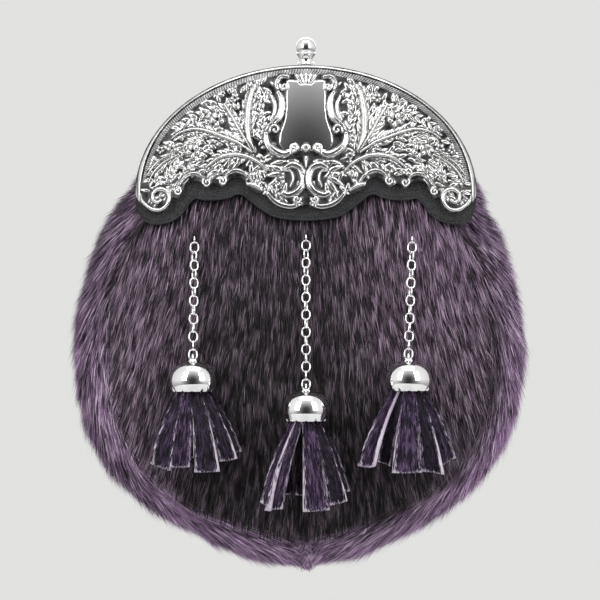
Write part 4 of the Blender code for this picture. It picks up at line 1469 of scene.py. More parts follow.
    # Each single leaf: where it starts, its direction down from across, its length and width
    fans: tuple = (
        ((9.6, 45), -24, 7, 1.9), ((9.8, 46.4), 0, 7.6, 2), ((9.8, 47.8), 24, 7.4, 2),
        ((9.4, 49.4), 48, 6.6, 1.9), ((8.4, 50.6), 74, 5, 1.7), ((3.4, 41.2), -8, 5.6, 1.5),
        ((8.8, 40.9), 6, 6.4, 1.6), ((15.4, 40), 16, 6, 1.7), ((16, 44), 40, 6.6, 1.8),
        ((18.6, 42.4), 30, 6.6, 1.7), ((14.6, 51.6), 40, 5.6, 1.7), ((19.4, 47.6), 52, 5.2, 1.7),
        ((3.2, 49.6), 95, 3.6, 1.4), ((5.2, 47), 80, 4, 1.3), ((12.6, 9.8), -50, 3.6, 1.3),
        ((15, 12), -40, 4, 1.5), ((15.4, 16), -20, 4, 1.5), ((15.2, 20.4), 10, 4, 1.5))
    # Each curl: its middle across and down, its radius, where it starts and which way it turns
    curls: tuple = ((9.4, 9.2, 1.7, -20, 1), (13.2, 27.6, 2.3, 20, -1), (5.2, 35.2, 1.8, 80, 1),
                    (35.4, 49.2, 1.9, 230, -1), (41.9, 49.8, 2, -40, 1),
                    (3.9, 57, 1.8, 190, -1), (54.4, 53.6, 1.8, 250, -1))
    flowers: tuple = (((37.6, 23.2), 2.9), ((47.9, 36.6), 2.8), ((56.9, 35.4), 1.9),
                      ((30.2, 14), 1.8), ((61.8, 36), 1.6))
    # The shield's half width by how far down it is
    shield: Table = ((5.6, 6.5), (6.6, 8.2), (9, 8.7), (16, 8.7), (22, 9.1), (26, 10.2),
                     (30, 11.4), (33, 11.4), (35.6, 9.8), (37, 6))

    def rim_distance(self, across: Array, down: Array) -> Array:
        """Measure how far inside the cantle's arc each place lies.

        Args:
            across: Where across, in millimetres.
            down: How far below the top, in millimetres.

        Returns:
            The distances in millimetres.
        """
        u, v = across / self.half, np.minimum(down - self.arc, 0) / self.arc
        reach = np.maximum(np.hypot(u, v), 1e-6)
        slope = np.hypot(u / self.half, v / self.arc) / reach
        return (1 - reach) / np.maximum(slope, 1e-6)

    def place_motifs(self, sheet: ReliefSheet, side: int) -> None:
        """Raise the ornament of one side.

        Args:
            sheet: The height map.
            side: -1 for the left and 1 for the right.
        """
        mirror = np.array([side, 1])
        chance = np.random.default_rng(61 + side)
        for points, length, width, spread, pairs in self.sprays:
            line = through_points(np.array(points), 12)
            for k in range(pairs):
                share = (k + 0.7) / (pairs + 0.2)
                at = min(int(share * (len(line) - 1)), len(line) - 2)
                along = line[at + 1] - line[at]
                heading = math.atan2(along[1], along[0])
                size = length * (1.12 - 0.5 * share) * chance.uniform(0.85, 1.12)
                for turn in (-1, 1):
                    angle = heading + turn * math.radians(spread + chance.uniform(-6, 6))
                    if side < 0:
                        angle = math.pi - angle
                    sheet.leaf(line[at] * mirror, angle, size, width, 1.0 + 0.35 * (1 - share),
                               curl=-turn * side * 0.35)
        for root, heading, length, width in self.fans:
            angle = math.radians(heading if side > 0 else 180 - heading)
            sheet.leaf(np.array(root) * mirror, angle, length, width, 1.25, curl=0.25 * side)
        self.fill_ground(sheet, side, chance)
        for centre, size in self.flowers:
            sheet.flower((centre[0] * side, centre[1]), size, 1.5)
        self.place_scrolls(sheet, side, self.scrolls, self.curls)

    def place_scrolls(self, sheet: ReliefSheet, side: int, scrolls: tuple, curls: tuple) -> None:
        """Raise scrolls and small spirals of one side.

        Args:
            sheet: The height map.
            side: -1 for the left and 1 for the right.
            scrolls: Rows of the table of scrolls.
            curls: Rows of the table of curls.
        """
        for points, width, rise, groove, moat in scrolls:
            line = through_points(np.array(points) * (side, 1), 8)
            swell = 0.55 + 0.45 * np.sin(np.pi * np.linspace(0.06, 0.94, len(line)))
            sheet.stroke(line, width * swell, rise * (0.75 + 0.25 * swell), groove, moat)
        for across, down, radius, start, hand in curls:
            begin = start if side > 0 else 180 - start
            sheet.curl((across * side, down), radius, 1.45, 1.9, begin, hand * side)

    def fill_ground(self, sheet: ReliefSheet, side: int, chance: np.random.Generator) -> None:
        """Fill what is bare with small leaves that fan out from the root of the sprays.

        Args:
            sheet: The height map.
            side: -1 for the left and 1 for the right.
            chance: Where the scatter is drawn from.
        """
        for _ in range(self.fillers):
            spot = np.array([chance.uniform(10, 70), chance.uniform(5, 58)])
            if self.rim_distance(spot[0], spot[1]) < 4.6:
                continue
            if spot[1] > read_table(self.edge_rows, spot[0]) - 3.2:
                continue
            if spot[0] < 15.5 and spot[1] < 42:
                continue
            here = sheet.read(sheet.heights, np.array([spot[0] * side]), np.array([spot[1]]))[0]
            if here > 0.25:
                continue
            away = spot - self.spray_root
            heading = math.atan2(away[1], away[0]) + chance.uniform(-0.7, 0.7)
            if side < 0:
                heading = math.pi - heading
            sheet.leaf(spot * (side, 1), heading, chance.uniform(3.0, 4.6),
                       chance.uniform(1.4, 1.9), chance.uniform(0.7, 1.0))

    def cartouche(self, sheet: ReliefSheet) -> Array:
        """Raise the plain shield and say where it is.

        Args:
            sheet: The height map.

        Returns:
            A mask of the shield, from 0 to 1.
        """
        gx, gy = np.meshgrid(sheet.across, sheet.down)
        half = read_table(self.shield, gy)
        inside = np.clip((half - np.abs(gx)) / 0.5, 0, 1)
        inside *= np.clip((gy - 6.6 + 0.006 * gx ** 2) / 0.5, 0, 1)
        inside *= np.clip((36.6 - gy) / 0.5, 0, 1)
        bow = 1.75 - 0.0062 * gx ** 2 - 0.0046 * (gy - 20) ** 2
        sheet.heights = np.where(inside > 0, bow * inside, sheet.heights)
        return inside

    def bead_width(self, down: Array) -> Array:
        """Give the width of the bright bead along the rim, which broadens towards the ends."""
        return 1.40 + 1.0 * smooth_step(22.0, 50.0, down)

    def rim_heights(self, sheet: ReliefSheet) -> tuple[Array, Array]:
        """Shape the rim, its groove and the hatched band inside it.

        Args:
            sheet: The height map.

        Returns:
            The heights that the rim gives, and how much of it counts at each place.
        """
        gx, gy = np.meshgrid(sheet.across, sheet.down)
        inset = self.rim_distance(gx, gy)
        turn = np.arctan2(gx / self.half, (self.arc - gy) / self.arc)
        hatch = 0.5 + 0.5 * np.sin(turn * self.hatch_turns + inset * 2.2)
        wide = self.bead_width(gy)
        ridge = np.clip(inset / (wide * 0.78), 0.06, 1) ** 0.9
        band = 0.50 * wide * ridge * (1 - smooth_step(wide * 0.80, wide, inset))
        hatched = (0.22 + 0.42 * hatch ** 1.5) * smooth_step(wide + 0.3, wide + 0.55, inset)
        inside = 1 - smooth_step(*self.band_end, inset)
        low = smooth_step(52.0, 47.0, gy)
        heights = np.where(inset < wide, band, hatched * inside * low)
        return heights, inside * np.where(inset < wide, 1.0, low)

    def relief(self) -> tuple[ReliefSheet, Array]:
        """Draw the whole relief.

        Returns:
            The height map and a map of how dark each place is: patina where the ground is low and
            over the hatched band, and a painted dark reflection along the rim's outer edge.
        """
        sheet = ReliefSheet(73.0, 64.0, 0.16)
        for side in Side:
            self.place_motifs(sheet, side.value)
        heights, counts = self.rim_heights(sheet)
        sheet.heights = sheet.heights * (1 - counts) + heights * counts
        shield = self.cartouche(sheet)
        for side in Side:
            self.place_scrolls(sheet, side.value, self.scrolls[:4], self.curls[:3])
        sheet.ring((0.0, 35.4), 1.15, 1.25, 1.9, 0.25)
        for k in range(-2, 3):
            sheet.stroke(np.array([(k * 1.05, 7.6), (k * 2.0, 4.1 + 0.16 * k * k)]),
                         np.array([1.2, 2.0]), 1.7, moat=0.15)
        sheet.stroke(np.array([(0, 39.6), (0, 43.4)]), np.array([1.8, 0.6]), 1.5, 0.3, 0.3)
        pounce = np.random.default_rng(5).uniform(0, self.pounce_depth, sheet.heights.shape)
        sheet.heights += np.where(sheet.heights < self.ground_level, pounce, 0)
        # Dark with patina where the ground is low and over the hatched band, and a painted dark
        # reflection along the rim's step
        near = sheet.blurred(0.75)
        recess = np.clip((near - sheet.heights) / 0.32, 0, 1)
        recess = np.maximum(recess, 0.93 * (1 - smooth_step(0.14, 0.60, sheet.heights)))
        gx, gy = np.meshgrid(sheet.across, sheet.down)
        inset = self.rim_distance(gx, gy)
        upper = smooth_step(56.0, 44.0, gy)
        # A painted dark reflection on the rim's rounded outer edge
        line = (inset - 0.30 - 1.0 * smooth_step(44.0, 58.0, gy)) / 0.36
        recess = np.maximum(recess, 0.97 * np.exp(-line ** 2))
        wide = self.bead_width(gy)
        band = smooth_step(wide - 0.1, wide + 0.15, inset) * (1 - smooth_step(3.7, 4.2, inset))
        band = band * upper * (0.88 - 0.55 * smooth_step(0.35, 0.62, sheet.heights))
        recess = np.maximum(recess, band)
        recess = recess * (1 - shield)
        return sheet, recess

    def build(self) -> None:
        """Build the cantle's mesh from its relief."""
        sheet, recess = self.relief()
        turns = np.linspace(-math.pi / 2, math.pi / 2, 4001)
        arc = points_of(self.half * np.sin(turns), self.arc * np.cos(turns))
        along = way_along(arc)
        x = np.interp(np.linspace(0, along[-1], self.columns), along, arc[:, 0])
        x = 0.35 * x + 0.65 * np.linspace(-self.half, self.half, self.columns)
        x = np.clip(x, self.side_margin - self.half, self.half - self.side_margin)
        top = self.arc * (1 - np.sqrt(np.clip(1 - (x / self.half) ** 2, 0, 1)))
        foot = np.maximum(read_table(self.edge_rows, np.abs(x)), top + 0.6)
        share = 1 - (1 - np.linspace(0, 1, self.rows)) ** 1.25
        down = foot[:, None] + (top - foot)[:, None] * share[None, :]
        across = np.broadcast_to(x[:, None], down.shape)
        lift = sheet.read(sheet.heights, across, down)
        depth = sheet.read(recess, across, down)
        lift = lift * np.sqrt(np.clip((foot[:, None] - down) / 0.5, 0, 1))
        lift[:, -1] = 0.0
        z = FORM.top_z - down / 1000
        face = FORM.on_cantle(across / 1000, z, lift / 1000)
        flange = []
        for scale, back in ((1.0, 0.0005), (1.0, 0.0008), (1.0, self.rim_depth),
                            (self.flange_scale, self.rim_depth),
                            (self.flange_scale, FORM.cantle_plate)):
            rise = FORM.top_z - FORM.cantle_arc + (self.arc - top) * scale / 1000
            flange.append(FORM.on_cantle(x * scale / 1000, rise, -back))
        inner = flange[-1]
        behind = []
        for step in np.linspace(0.08, 1, 8):
            behind.append(FORM.on_cantle(inner[:, 0] + (x / 1000 - inner[:, 0]) * step,
                                         inner[:, 2] + (z[:, 0] - inner[:, 2]) * step,
                                         -FORM.cantle_plate))
        grid = np.concatenate([face, np.stack(flange + behind, 1)], axis=1)
        grid[..., 0] *= self.narrow
        mesh = grid_mesh(grid)
        # The rim's outer edge behind the face is painted nearly black as a dark reflection of its
        # rounding; the rest of the flange stays almost bright
        extra = np.zeros((self.columns, grid.shape[1] - self.rows))
        extra[:, 1:] = 0.03
        extra[:, 0] = 0.9
        store(mesh, recess=np.concatenate([depth, extra], axis=1))
        hand_over("cantle_cast", mesh, self.finishes.cast, Slot.CHROME, "cantle")


@dataclass
class CantleLeather:
    """The scalloped leather that shows under the cantle."""

    finishes: Finishes
    columns: int = 420
    rows: int = 34
    top_inset: float = 0.0027
    side_inset: float = 0.0008
    edge_round: float = 0.0008
    crease: float = 0.0013
    crease_depth: float = 0.00045
    crease_width: float = 0.00028
    leather_drop: float = 0.0682
    edge_rows: Table = (
        (0, 0.966), (0.06, 0.964), (0.133, 0.955), (0.18, 0.945), (0.26, 0.898),
        (0.33, 0.842), (0.375, 0.808), (0.40, 0.806), (0.44, 0.825), (0.50, 0.838),
        (0.585, 0.841), (0.635, 0.831), (0.66, 0.845), (0.717, 0.925), (0.77, 0.967),
        (0.83, 0.986), (0.88, 0.989), (0.92, 0.978), (0.95, 0.957), (0.97, 0.930), (0.982, 0.895),
        (1, 0.82))

    def build(self) -> None:
        """Build the leather with a rounded edge and a creased line along it."""
        half = FORM.cantle_half_width - self.top_inset
        ends = FORM.cantle_half_width - self.side_inset
        t = np.linspace(-1, 1, self.columns)
        x = ends * np.sin(t * math.pi / 2) * 0.45 + ends * t * 0.55
        top = FORM.top_z - FORM.cantle_arc + (FORM.cantle_arc - self.top_inset) * np.sqrt(
            np.clip(1 - (x / half) ** 2, 0, 1)) - 0.0009 * (np.abs(x) > half)
        foot = np.minimum(leather_edge(x), top - 0.0012)
        span = top - foot
        fine = np.concatenate([np.linspace(0, 0.0036, 15), [0.0052, 0.009]])
        wall = FORM.leather_wall
        front, behind = [], []
        for step in fine:
            part = np.minimum(step, span * 0.45)
            dome = np.sqrt(np.clip(1 - (1 - np.clip(part / self.edge_round, 0, 1)) ** 2, 0, 1))
            dent = self.crease_depth * np.exp(-((part - self.crease) / self.crease_width) ** 2)
            front.append((foot + part, FORM.seam_gap + wall * (0.5 + 0.5 * dome) - dent))
            if step in fine[::4]:
                behind.append((foot + part, FORM.seam_gap + wall * (0.5 - 0.5 * dome)))
        for share in np.linspace(0.5, 1, self.rows - len(fine)):
            front.append((foot + span * share, FORM.seam_gap + wall))
            if share > 0.6:
                behind.append((foot + span * share, FORM.seam_gap))
        grid = [points_of(x, FORM.belly(x, z) - offset, z)
                for z, offset in front + behind[::-1]]
        hand_over("cantle_leather_cut", grid_mesh(np.stack(grid, 1)), self.finishes.leather,
                  Slot.BLACK_LEATHER, "cantle_leather")


# Chains, domes and tassels

@dataclass(frozen=True)
class Hanging:
    """One tassel's place: where its chain leaves the panel and where its dome hangs."""

    name: str
    slit: tuple[float, float]
    dome: tuple[float, float]
    twist: float
    strips: tuple

    def leaves(self) -> Vector:
        """Give where the chain comes out of the panel.

        Returns:
            The place, in metres.
        """
        x, z = self.slit[0] * FORM.radius, FORM.centre_z + self.slit[1] * FORM.radius
        y = float(FORM.belly(x, z)) - Chains.standoff
        return Vector((x, y, z - (Chains.width - Chains.wire) / 2))

    def dome_top(self) -> Vector:
        """Give the top of the dome, just before the fur."""
        x, z = self.dome[0] * FORM.radius, FORM.centre_z + self.dome[1] * FORM.radius
        return Vector((x, float(FORM.belly(x, z - Domes.height)) - 0.0005 - Domes.hang, z))


class Placer:
    """Sets copies of a small mesh at the points of a host."""

    def __init__(self) -> None:
        """Build the tree once."""
        self.tree, start, _ = new_group(
            "set_copies", "GeometryNodeTree",
            (("Places", "Geometry", None), ("Copy", "Object", None),
             ("Finish", "Material", None)), (("Copies", "Geometry"),))
        sheet = NodeSheet(self.tree)
        turn = sheet.add("FunctionNodeAxesToRotation",
                         {0: sheet.attribute("way", "FLOAT_VECTOR"),
                          1: sheet.attribute("face", "FLOAT_VECTOR")},
                         primary_axis="Z", secondary_axis="X")
        copy = sheet.add("GeometryNodeObjectInfo", {"Object": start.outputs["Copy"]})
        made = sheet.add("GeometryNodeInstanceOnPoints", {
            "Points": start.outputs["Places"], "Instance": copy.outputs["Geometry"],
            "Rotation": turn})
        sheet.finish_copies(made, start.outputs["Finish"])

    def place(self, copy: Mesh, points: Array, ways: Array, faces: Array,
              finish: Material) -> Mesh:
        """Set a copy at each point.

        Args:
            copy: The small mesh, along Z and facing X. It is removed.
            points: Where the copies go.
            ways: Where each copy's Z axis points.
            faces: Where each copy's X axis points.
            finish: The material.

        Returns:
            The copies as one plain mesh.
        """
        places = mesh_from(points, [])
        store(places, way=ways, face=faces)
        made = run_tree(places, self.tree, {"Copy": place_object("copy", copy),
                                            "Finish": finish})
        bpy.data.meshes.remove(copy)
        return made


def loop_mesh(path: Array, radius: float, sides: int) -> Mesh:
    """Bend a round wire to a closed flat loop.

    Args:
        path: Points of the middle line.
        radius: The wire's radius.
        sides: Steps round the wire.

    Returns:
        The mesh.
    """
    along = unit(np.roll(path, -1, axis=0) - np.roll(path, 1, axis=0))
    flat = np.linalg.svd(path - path.mean(0), full_matrices=False)[2][2]
    side = unit(np.cross(along, flat))
    turns = full_turn(sides)[None, :, None]
    grid = (path[:, None] + side[:, None] * radius * np.cos(turns)
            + np.cross(along, side)[:, None] * radius * np.sin(turns))
    return grid_mesh(grid, ring=True)


@dataclass
class Chains:
    """The oval-link chains from the panel to the domes."""

    finishes: Finishes
    placer: Placer
    length: float = 0.0051
    width: float = 0.0041
    wire: float = 0.00076
    bite: float = 0.00016
    standoff: float = 0.003
    pin_room: float = 0.0007
    pin: float = 0.0007
    pin_half: float = 0.004
    sides: int = 12

    def link_path(self, length: float, steps: int = 8) -> Array:
        """Give the middle line of a long round link, along Z and across X.

        Args:
            length: The link's outer length.
            steps: The parts of each round end.

        Returns:
            One row for each point of the line.
        """
        radius = (self.width - self.wire) / 2
        straight = (length - self.wire) / 2 - radius
        turns = np.linspace(0, math.pi, steps + 1)
        upper = points_of(radius * np.cos(turns), 0.0, straight + radius * np.sin(turns))
        return np.vstack([upper, -upper])

    def build(self, hangings: tuple[Hanging, ...]) -> None:
        """Build each chain as links that hook through one another.

        Args:
            hangings: The three chains' places and lengths.
        """
        for row in hangings:
            start = row.leaves() + Vector((0, 0, self.wire - self.bite))
            foot = row.dome_top() + Vector((0, 0, Domes.hook - (self.wire + Domes.eye_wire) / 2))
            line = foot - start
            down = np.array(line.normalized())
            nominal = self.length - 2 * self.wire + self.bite
            reach = line.length + self.wire - self.bite
            count = 2 * round((reach / nominal - 1) / 2) + 1
            pitch = reach / count
            length = pitch + 2 * self.wire - self.bite
            steps = (length - self.wire) / 2 + pitch * np.arange(count)
            points = np.array(start) + down * steps[:, None]
            share = np.arange(count) / (count - 1)
            turn = np.radians(np.where(np.arange(count) % 2, 90.0, 0.0)
                              + row.twist * (1 - share) * (share > 0))
            faces = points_of(np.cos(turn), np.sin(turn), 0.0)
            link = loop_mesh(self.link_path(length), self.wire / 2, self.sides)
            links = self.placer.place(link, points, np.tile(down, (count, 1)), faces,
                                      self.finishes.polished)
            name = "chain_" + row.name
            hand_over(name + "_links", join_meshes(links, self.holding_loop(row)),
                      self.finishes.polished, Slot.CHROME, name)

    def holding_loop(self, row: Hanging) -> Mesh:
        """Make the long loop that runs through the panel to its pin.

        Args:
            row: The tassel that it bears.

        Returns:
            The loop and the pin as one mesh.
        """
        top = row.leaves()
        pin_y = float(FORM.belly(top.x, top.z)) + FORM.fur_wall + self.pin_room + self.pin
        far = pin_y + self.pin + self.wire - self.bite
        near = top.y - self.width / 2 + self.wire / 2
        middle = Vector((top.x, (far + near) / 2, top.z + (self.width - self.wire) / 2))
        path = self.link_path(far - near)
        path = points_of(middle.x, middle.y + path[:, 2], middle.z + path[:, 0])
        loop = loop_mesh(path, self.wire / 2, self.sides)
        end = self.pin_half
        profile = np.array([(0.0001, -end), (self.pin, 0.0002 - end), (self.pin, end - 0.0002),
                            (0.0001, end)])
        pin = turned_mesh(profile, 16, Vector())
        pin.transform(Matrix.Translation((top.x, pin_y, middle.z))
                      @ Matrix.Rotation(math.pi / 2, 4, "Y"))
        return join_meshes(loop, pin)


@dataclass
class Domes:
    """The bell-shaped caps over the tassels."""

    finishes: Finishes
    radius: float = 0.0098
    height: float = 0.0127
    hang: float = 0.0083
    wall: float = 0.0009
    eye: float = 0.0016
    eye_sink: float = 0.0006
    eye_wire: float = 0.0009
    hook: float = 0.0023
    crimp: float = 0.0012
    crimps: int = 12
    sides: int = 84
    cup: Table = ((0.0001, -0.0006), (0.0021, -0.0006), (0.0021, 0.0001), (0.0015, 0.0007),
                  (0.0001, 0.0008))

    def profile(self) -> Array:
        """Give the section from the top inside, round the lip and up to the top outside.

        Returns:
            One row for each point, with its radius and height.
        """
        turns = np.radians(np.linspace(-32, 89, 26))
        low = math.sin(turns[0])
        height = self.height * (np.sin(turns) - low) / (1 - low)
        radius = self.radius * np.cos(turns) ** 0.82
        lip = np.exp(-(height / 0.0011) ** 2) * 0.00030
        outer = points_of(radius + lip, height)
        inner = points_of(np.maximum(radius - self.wall, 0.0001), height * 0.91)[:-1]
        bead = np.array([(outer[0, 0] - 0.0002, -0.00025), (outer[0, 0] - 0.0006, -0.00025)])
        return np.vstack([inner[::-1], bead[::-1], outer])

    def build(self, hangings: tuple[Hanging, ...]) -> None:
        """Build each dome with its crimped lip and its eye.

        Args:
            hangings: The places to hang at.
        """
        for row in hangings:
            top = row.dome_top()
            name = "tassel_dome_" + row.name
            bell = turned_mesh(self.profile(), self.sides,
                               top - Vector((0, 0, self.height)), self.crimp, self.crimps)
            turns = full_turn(28)
            ring = points_of(top.x, top.y + self.eye * np.cos(turns),
                             top.z + self.eye - self.eye_sink + self.eye * np.sin(turns))
            eye = loop_mesh(ring, self.eye_wire / 2, 14)
            cup = turned_mesh(self.cup, len(turns), top)
            hand_over(name + "_bell", join_meshes(bell, eye, cup), self.finishes.polished,
                      Slot.CHROME, name)


@dataclass
class Tassels:
    """The strips of furred suede that hang from the domes."""

    finishes: Finishes
    grower: HairGrower
    thickness: float = 0.0022
    head: float = 0.0044
    head_half: float = 0.0019
    head_rise: float = 0.004
    dish: float = 0.0023
    length: float = 0.033
    core: Table = ((0.0001, -0.0004), (0.0048, -0.0002), (0.0056, 0.0012), (0.0056, 0.0048),
                   (0.0001, 0.005))
    steps: int = 22
    ribs: int = 8
    streak: float = 0.22
    style: HairStyle = HairStyle(9500, 0.00030, 0.0006, 0.07, 0.22, 0.004, 0.4, 31)

    def strip_grid(self, row: Hanging, strip: tuple) -> tuple[Array, Array]:
        """Lay out a strip's outer face from its head to its foot.

        Args:
            row: The tassel.
            strip: Its head's angle, then each lower corner across, down and forward in
                millimetres from the middle of the dome's lip, how much it bows forward and
                how light its fur is painted, as painted light where the strip catches the
                lamps and painted shade where it hangs in shadow.

        Returns:
            Points as steps down, steps across and three numbers, and each step's normal.
        """
        angle, left, right, bow, _ = strip
        lip = row.dome_top() - Vector((0, 0, Domes.height))
        turn = math.radians(angle)
        middle = np.array([math.sin(turn), -math.cos(turn)]) * self.head
        side = np.array([math.cos(turn), math.sin(turn)]) * self.head_half
        if math.cos(turn) < -0.01:
            side = -side
        share = np.linspace(0, 1, self.steps)
        ease = share ** 1.25
        edges = []
        for sign, corner in ((-1, left), (1, right)):
            head = middle + sign * side
            foot = np.array([corner[0], -corner[2]]) / 1000
            flat = head + (foot - head) * ease[:, None]
            flat[:, 1] -= bow / 1000 * np.sin(math.pi * share) * (1 if math.cos(turn) > 0 else -1)
            flat[:, 0] += (foot[0] - head[0]) * 0.18 * np.sin(math.pi * share)
            height = self.head_rise * (1 - share) - corner[1] / 1000 * share
            edges.append(points_of(*flat.T, height))
        across = np.linspace(0, 1, self.ribs)[None, :, None]
        grid = edges[0][:, None] * (1 - across) + edges[1][:, None] * across
        normal = np.cross(edges[1] - edges[0], np.gradient((edges[0] + edges[1]) / 2, axis=0))
        normal = unit(normal)
        out = np.array([math.sin(turn), -math.cos(turn), 0.0])
        normal *= np.sign(normal @ out + 1e-9)[:, None]
        cup = self.dish * share[:, None, None] * (1 - (2 * across - 1) ** 2)
        return grid - normal[:, None] * cup + np.array(lip), normal

    def build_strip(self, row: Hanging, strip: tuple) -> Mesh:
        """Make one strip with its fur's values stored.

        Args:
            row: The tassel.
            strip: The strip's row.

        Returns:
            The strip as a closed ribbon.
        """
        outer, normal = self.strip_grid(row, strip)
        thick = self.thickness * np.clip(0.45 + 0.8 * np.linspace(0, 1, self.steps), 0, 1)
        inner = outer - normal[:, None] * thick[:, None, None]
        grid = np.concatenate([outer, inner[:, ::-1]], axis=1)
        mesh = grid_mesh(grid)
        share = np.linspace(0, 1, self.steps)[:, None]
        cover = np.zeros(grid.shape[:2])
        cover[:, 1:self.ribs - 1] = 1 - 0.5 * smooth_step(0.15, 0.5, share)
        cover[:, 2:self.ribs - 2] = 1
        if math.cos(math.radians(strip[0])) < 0:
            cover[:, self.ribs + 1:-1] = 1
        cover *= (share > 0.06) & (share < 0.97)
        tail = np.clip((1.0 - share) * 0.032, 0.0010, 0.0046) * np.ones_like(cover)
        wide = np.linspace(0, 0.016, grid.shape[1])[None, :] + strip[0]
        # The strip's painted light and shade goes to its fur as shade
        store(mesh, grain=points_of(wide, 0.0, self.length * share * self.streak),
              flow=unit(np.gradient(grid, axis=0)), reach=tail, loft=np.ones(cover.shape),
              shade=np.full(cover.shape, strip[4]), cover=cover)
        return mesh

    def build(self, hangings: tuple[Hanging, ...]) -> None:
        """Build each tassel's strips, head and fur.

        Args:
            hangings: The places to hang at.
        """
        for row in hangings:
            name = "tassel_" + row.name
            hide = join_meshes(*(self.build_strip(row, strip) for strip in row.strips))
            fur = self.grower.grow(hide, self.style, self.finishes.tassel)
            hand_over(name + "_fur", fur, self.finishes.tassel, Slot.FURRED_SUEDE)
            lip = row.dome_top() - Vector((0, 0, Domes.height))
            hand_over(name + "_strips", join_meshes(hide, turned_mesh(self.core, 32, lip)),
                      self.finishes.suede, Slot.FURRED_SUEDE, name)


@dataclass
class FinialKnob:
    """The ball on its collar at the top of the cantle."""

    finishes: Finishes
    ball: float = 0.0042
    height: float = 0.0116
    back: float = 0.0022

    def build(self) -> None:
        """Build the knob as one turned piece."""
        ball_z = self.height - self.ball
        turns = np.radians(np.linspace(-30, 89.5, 28))
        ball = points_of(self.ball * np.cos(turns), ball_z + self.ball * np.sin(turns))
        foot = through_points(np.array([
            (0.0031, 0.0), (0.0036, 0.0003), (0.0035, 0.0007), (0.0030, 0.0012),
            (0.0029, 0.0024), (0.0034, 0.0036), (0.0041, 0.0045), (0.0042, 0.0048),
            (ball[0, 0] + 0.0001, ball[0, 1] - 0.0001)]), 5)
        depth = float(FORM.belly(0, FORM.top_z)) - FORM.cantle_plate + self.back
        mesh = turned_mesh(np.vstack([foot, ball]), 64,
                           Vector((0, depth, FORM.top_z + FORM.seam_gap)))
        hand_over("finial_ball", mesh, self.finishes.polished, Slot.CHROME, "finial_knob")


# The back

def sheet_mesh(outlines: list[Array], near: float, far: float, edge: float) -> Mesh:
    """Cut a flat sheet with rounded edges, facing the back.

    Args:
        outlines: Points across and up of its outline, then of each hole.
        near: The depth of its front face.
        far: The depth of its back face.
        edge: The radius of its edges.

    Returns:
        The mesh.
    """
    curve = bpy.data.curves.new("sheet", "CURVE")
    curve.dimensions, curve.fill_mode = "2D", "BOTH"
    curve.extrude = (far - near) / 2 - edge
    curve.bevel_depth, curve.bevel_resolution, curve.offset = edge, 2, -edge
    for outline in outlines:
        spline = curve.splines.new("POLY")
        spline.points.add(len(outline) - 1)
        for point, (x, z) in zip(spline.points, outline):
            point.co = (x, z, 0, 1)
        spline.use_cyclic_u = True
    host = place_object("sheet", curve)
    depsgraph = bpy.context.evaluated_depsgraph_get()
    mesh = bpy.data.meshes.new_from_object(host.evaluated_get(depsgraph))
    bpy.data.curves.remove(curve)
    mesh.transform(Matrix(((1, 0, 0, 0), (0, 0, -1, (near + far) / 2), (0, 1, 0, 0),
                           (0, 0, 0, 1))))
    turn_outwards(mesh, WELD)
    mesh.materials.clear()
    mesh.set_sharp_from_angle(angle=SHARP_ANGLE)
    return mesh


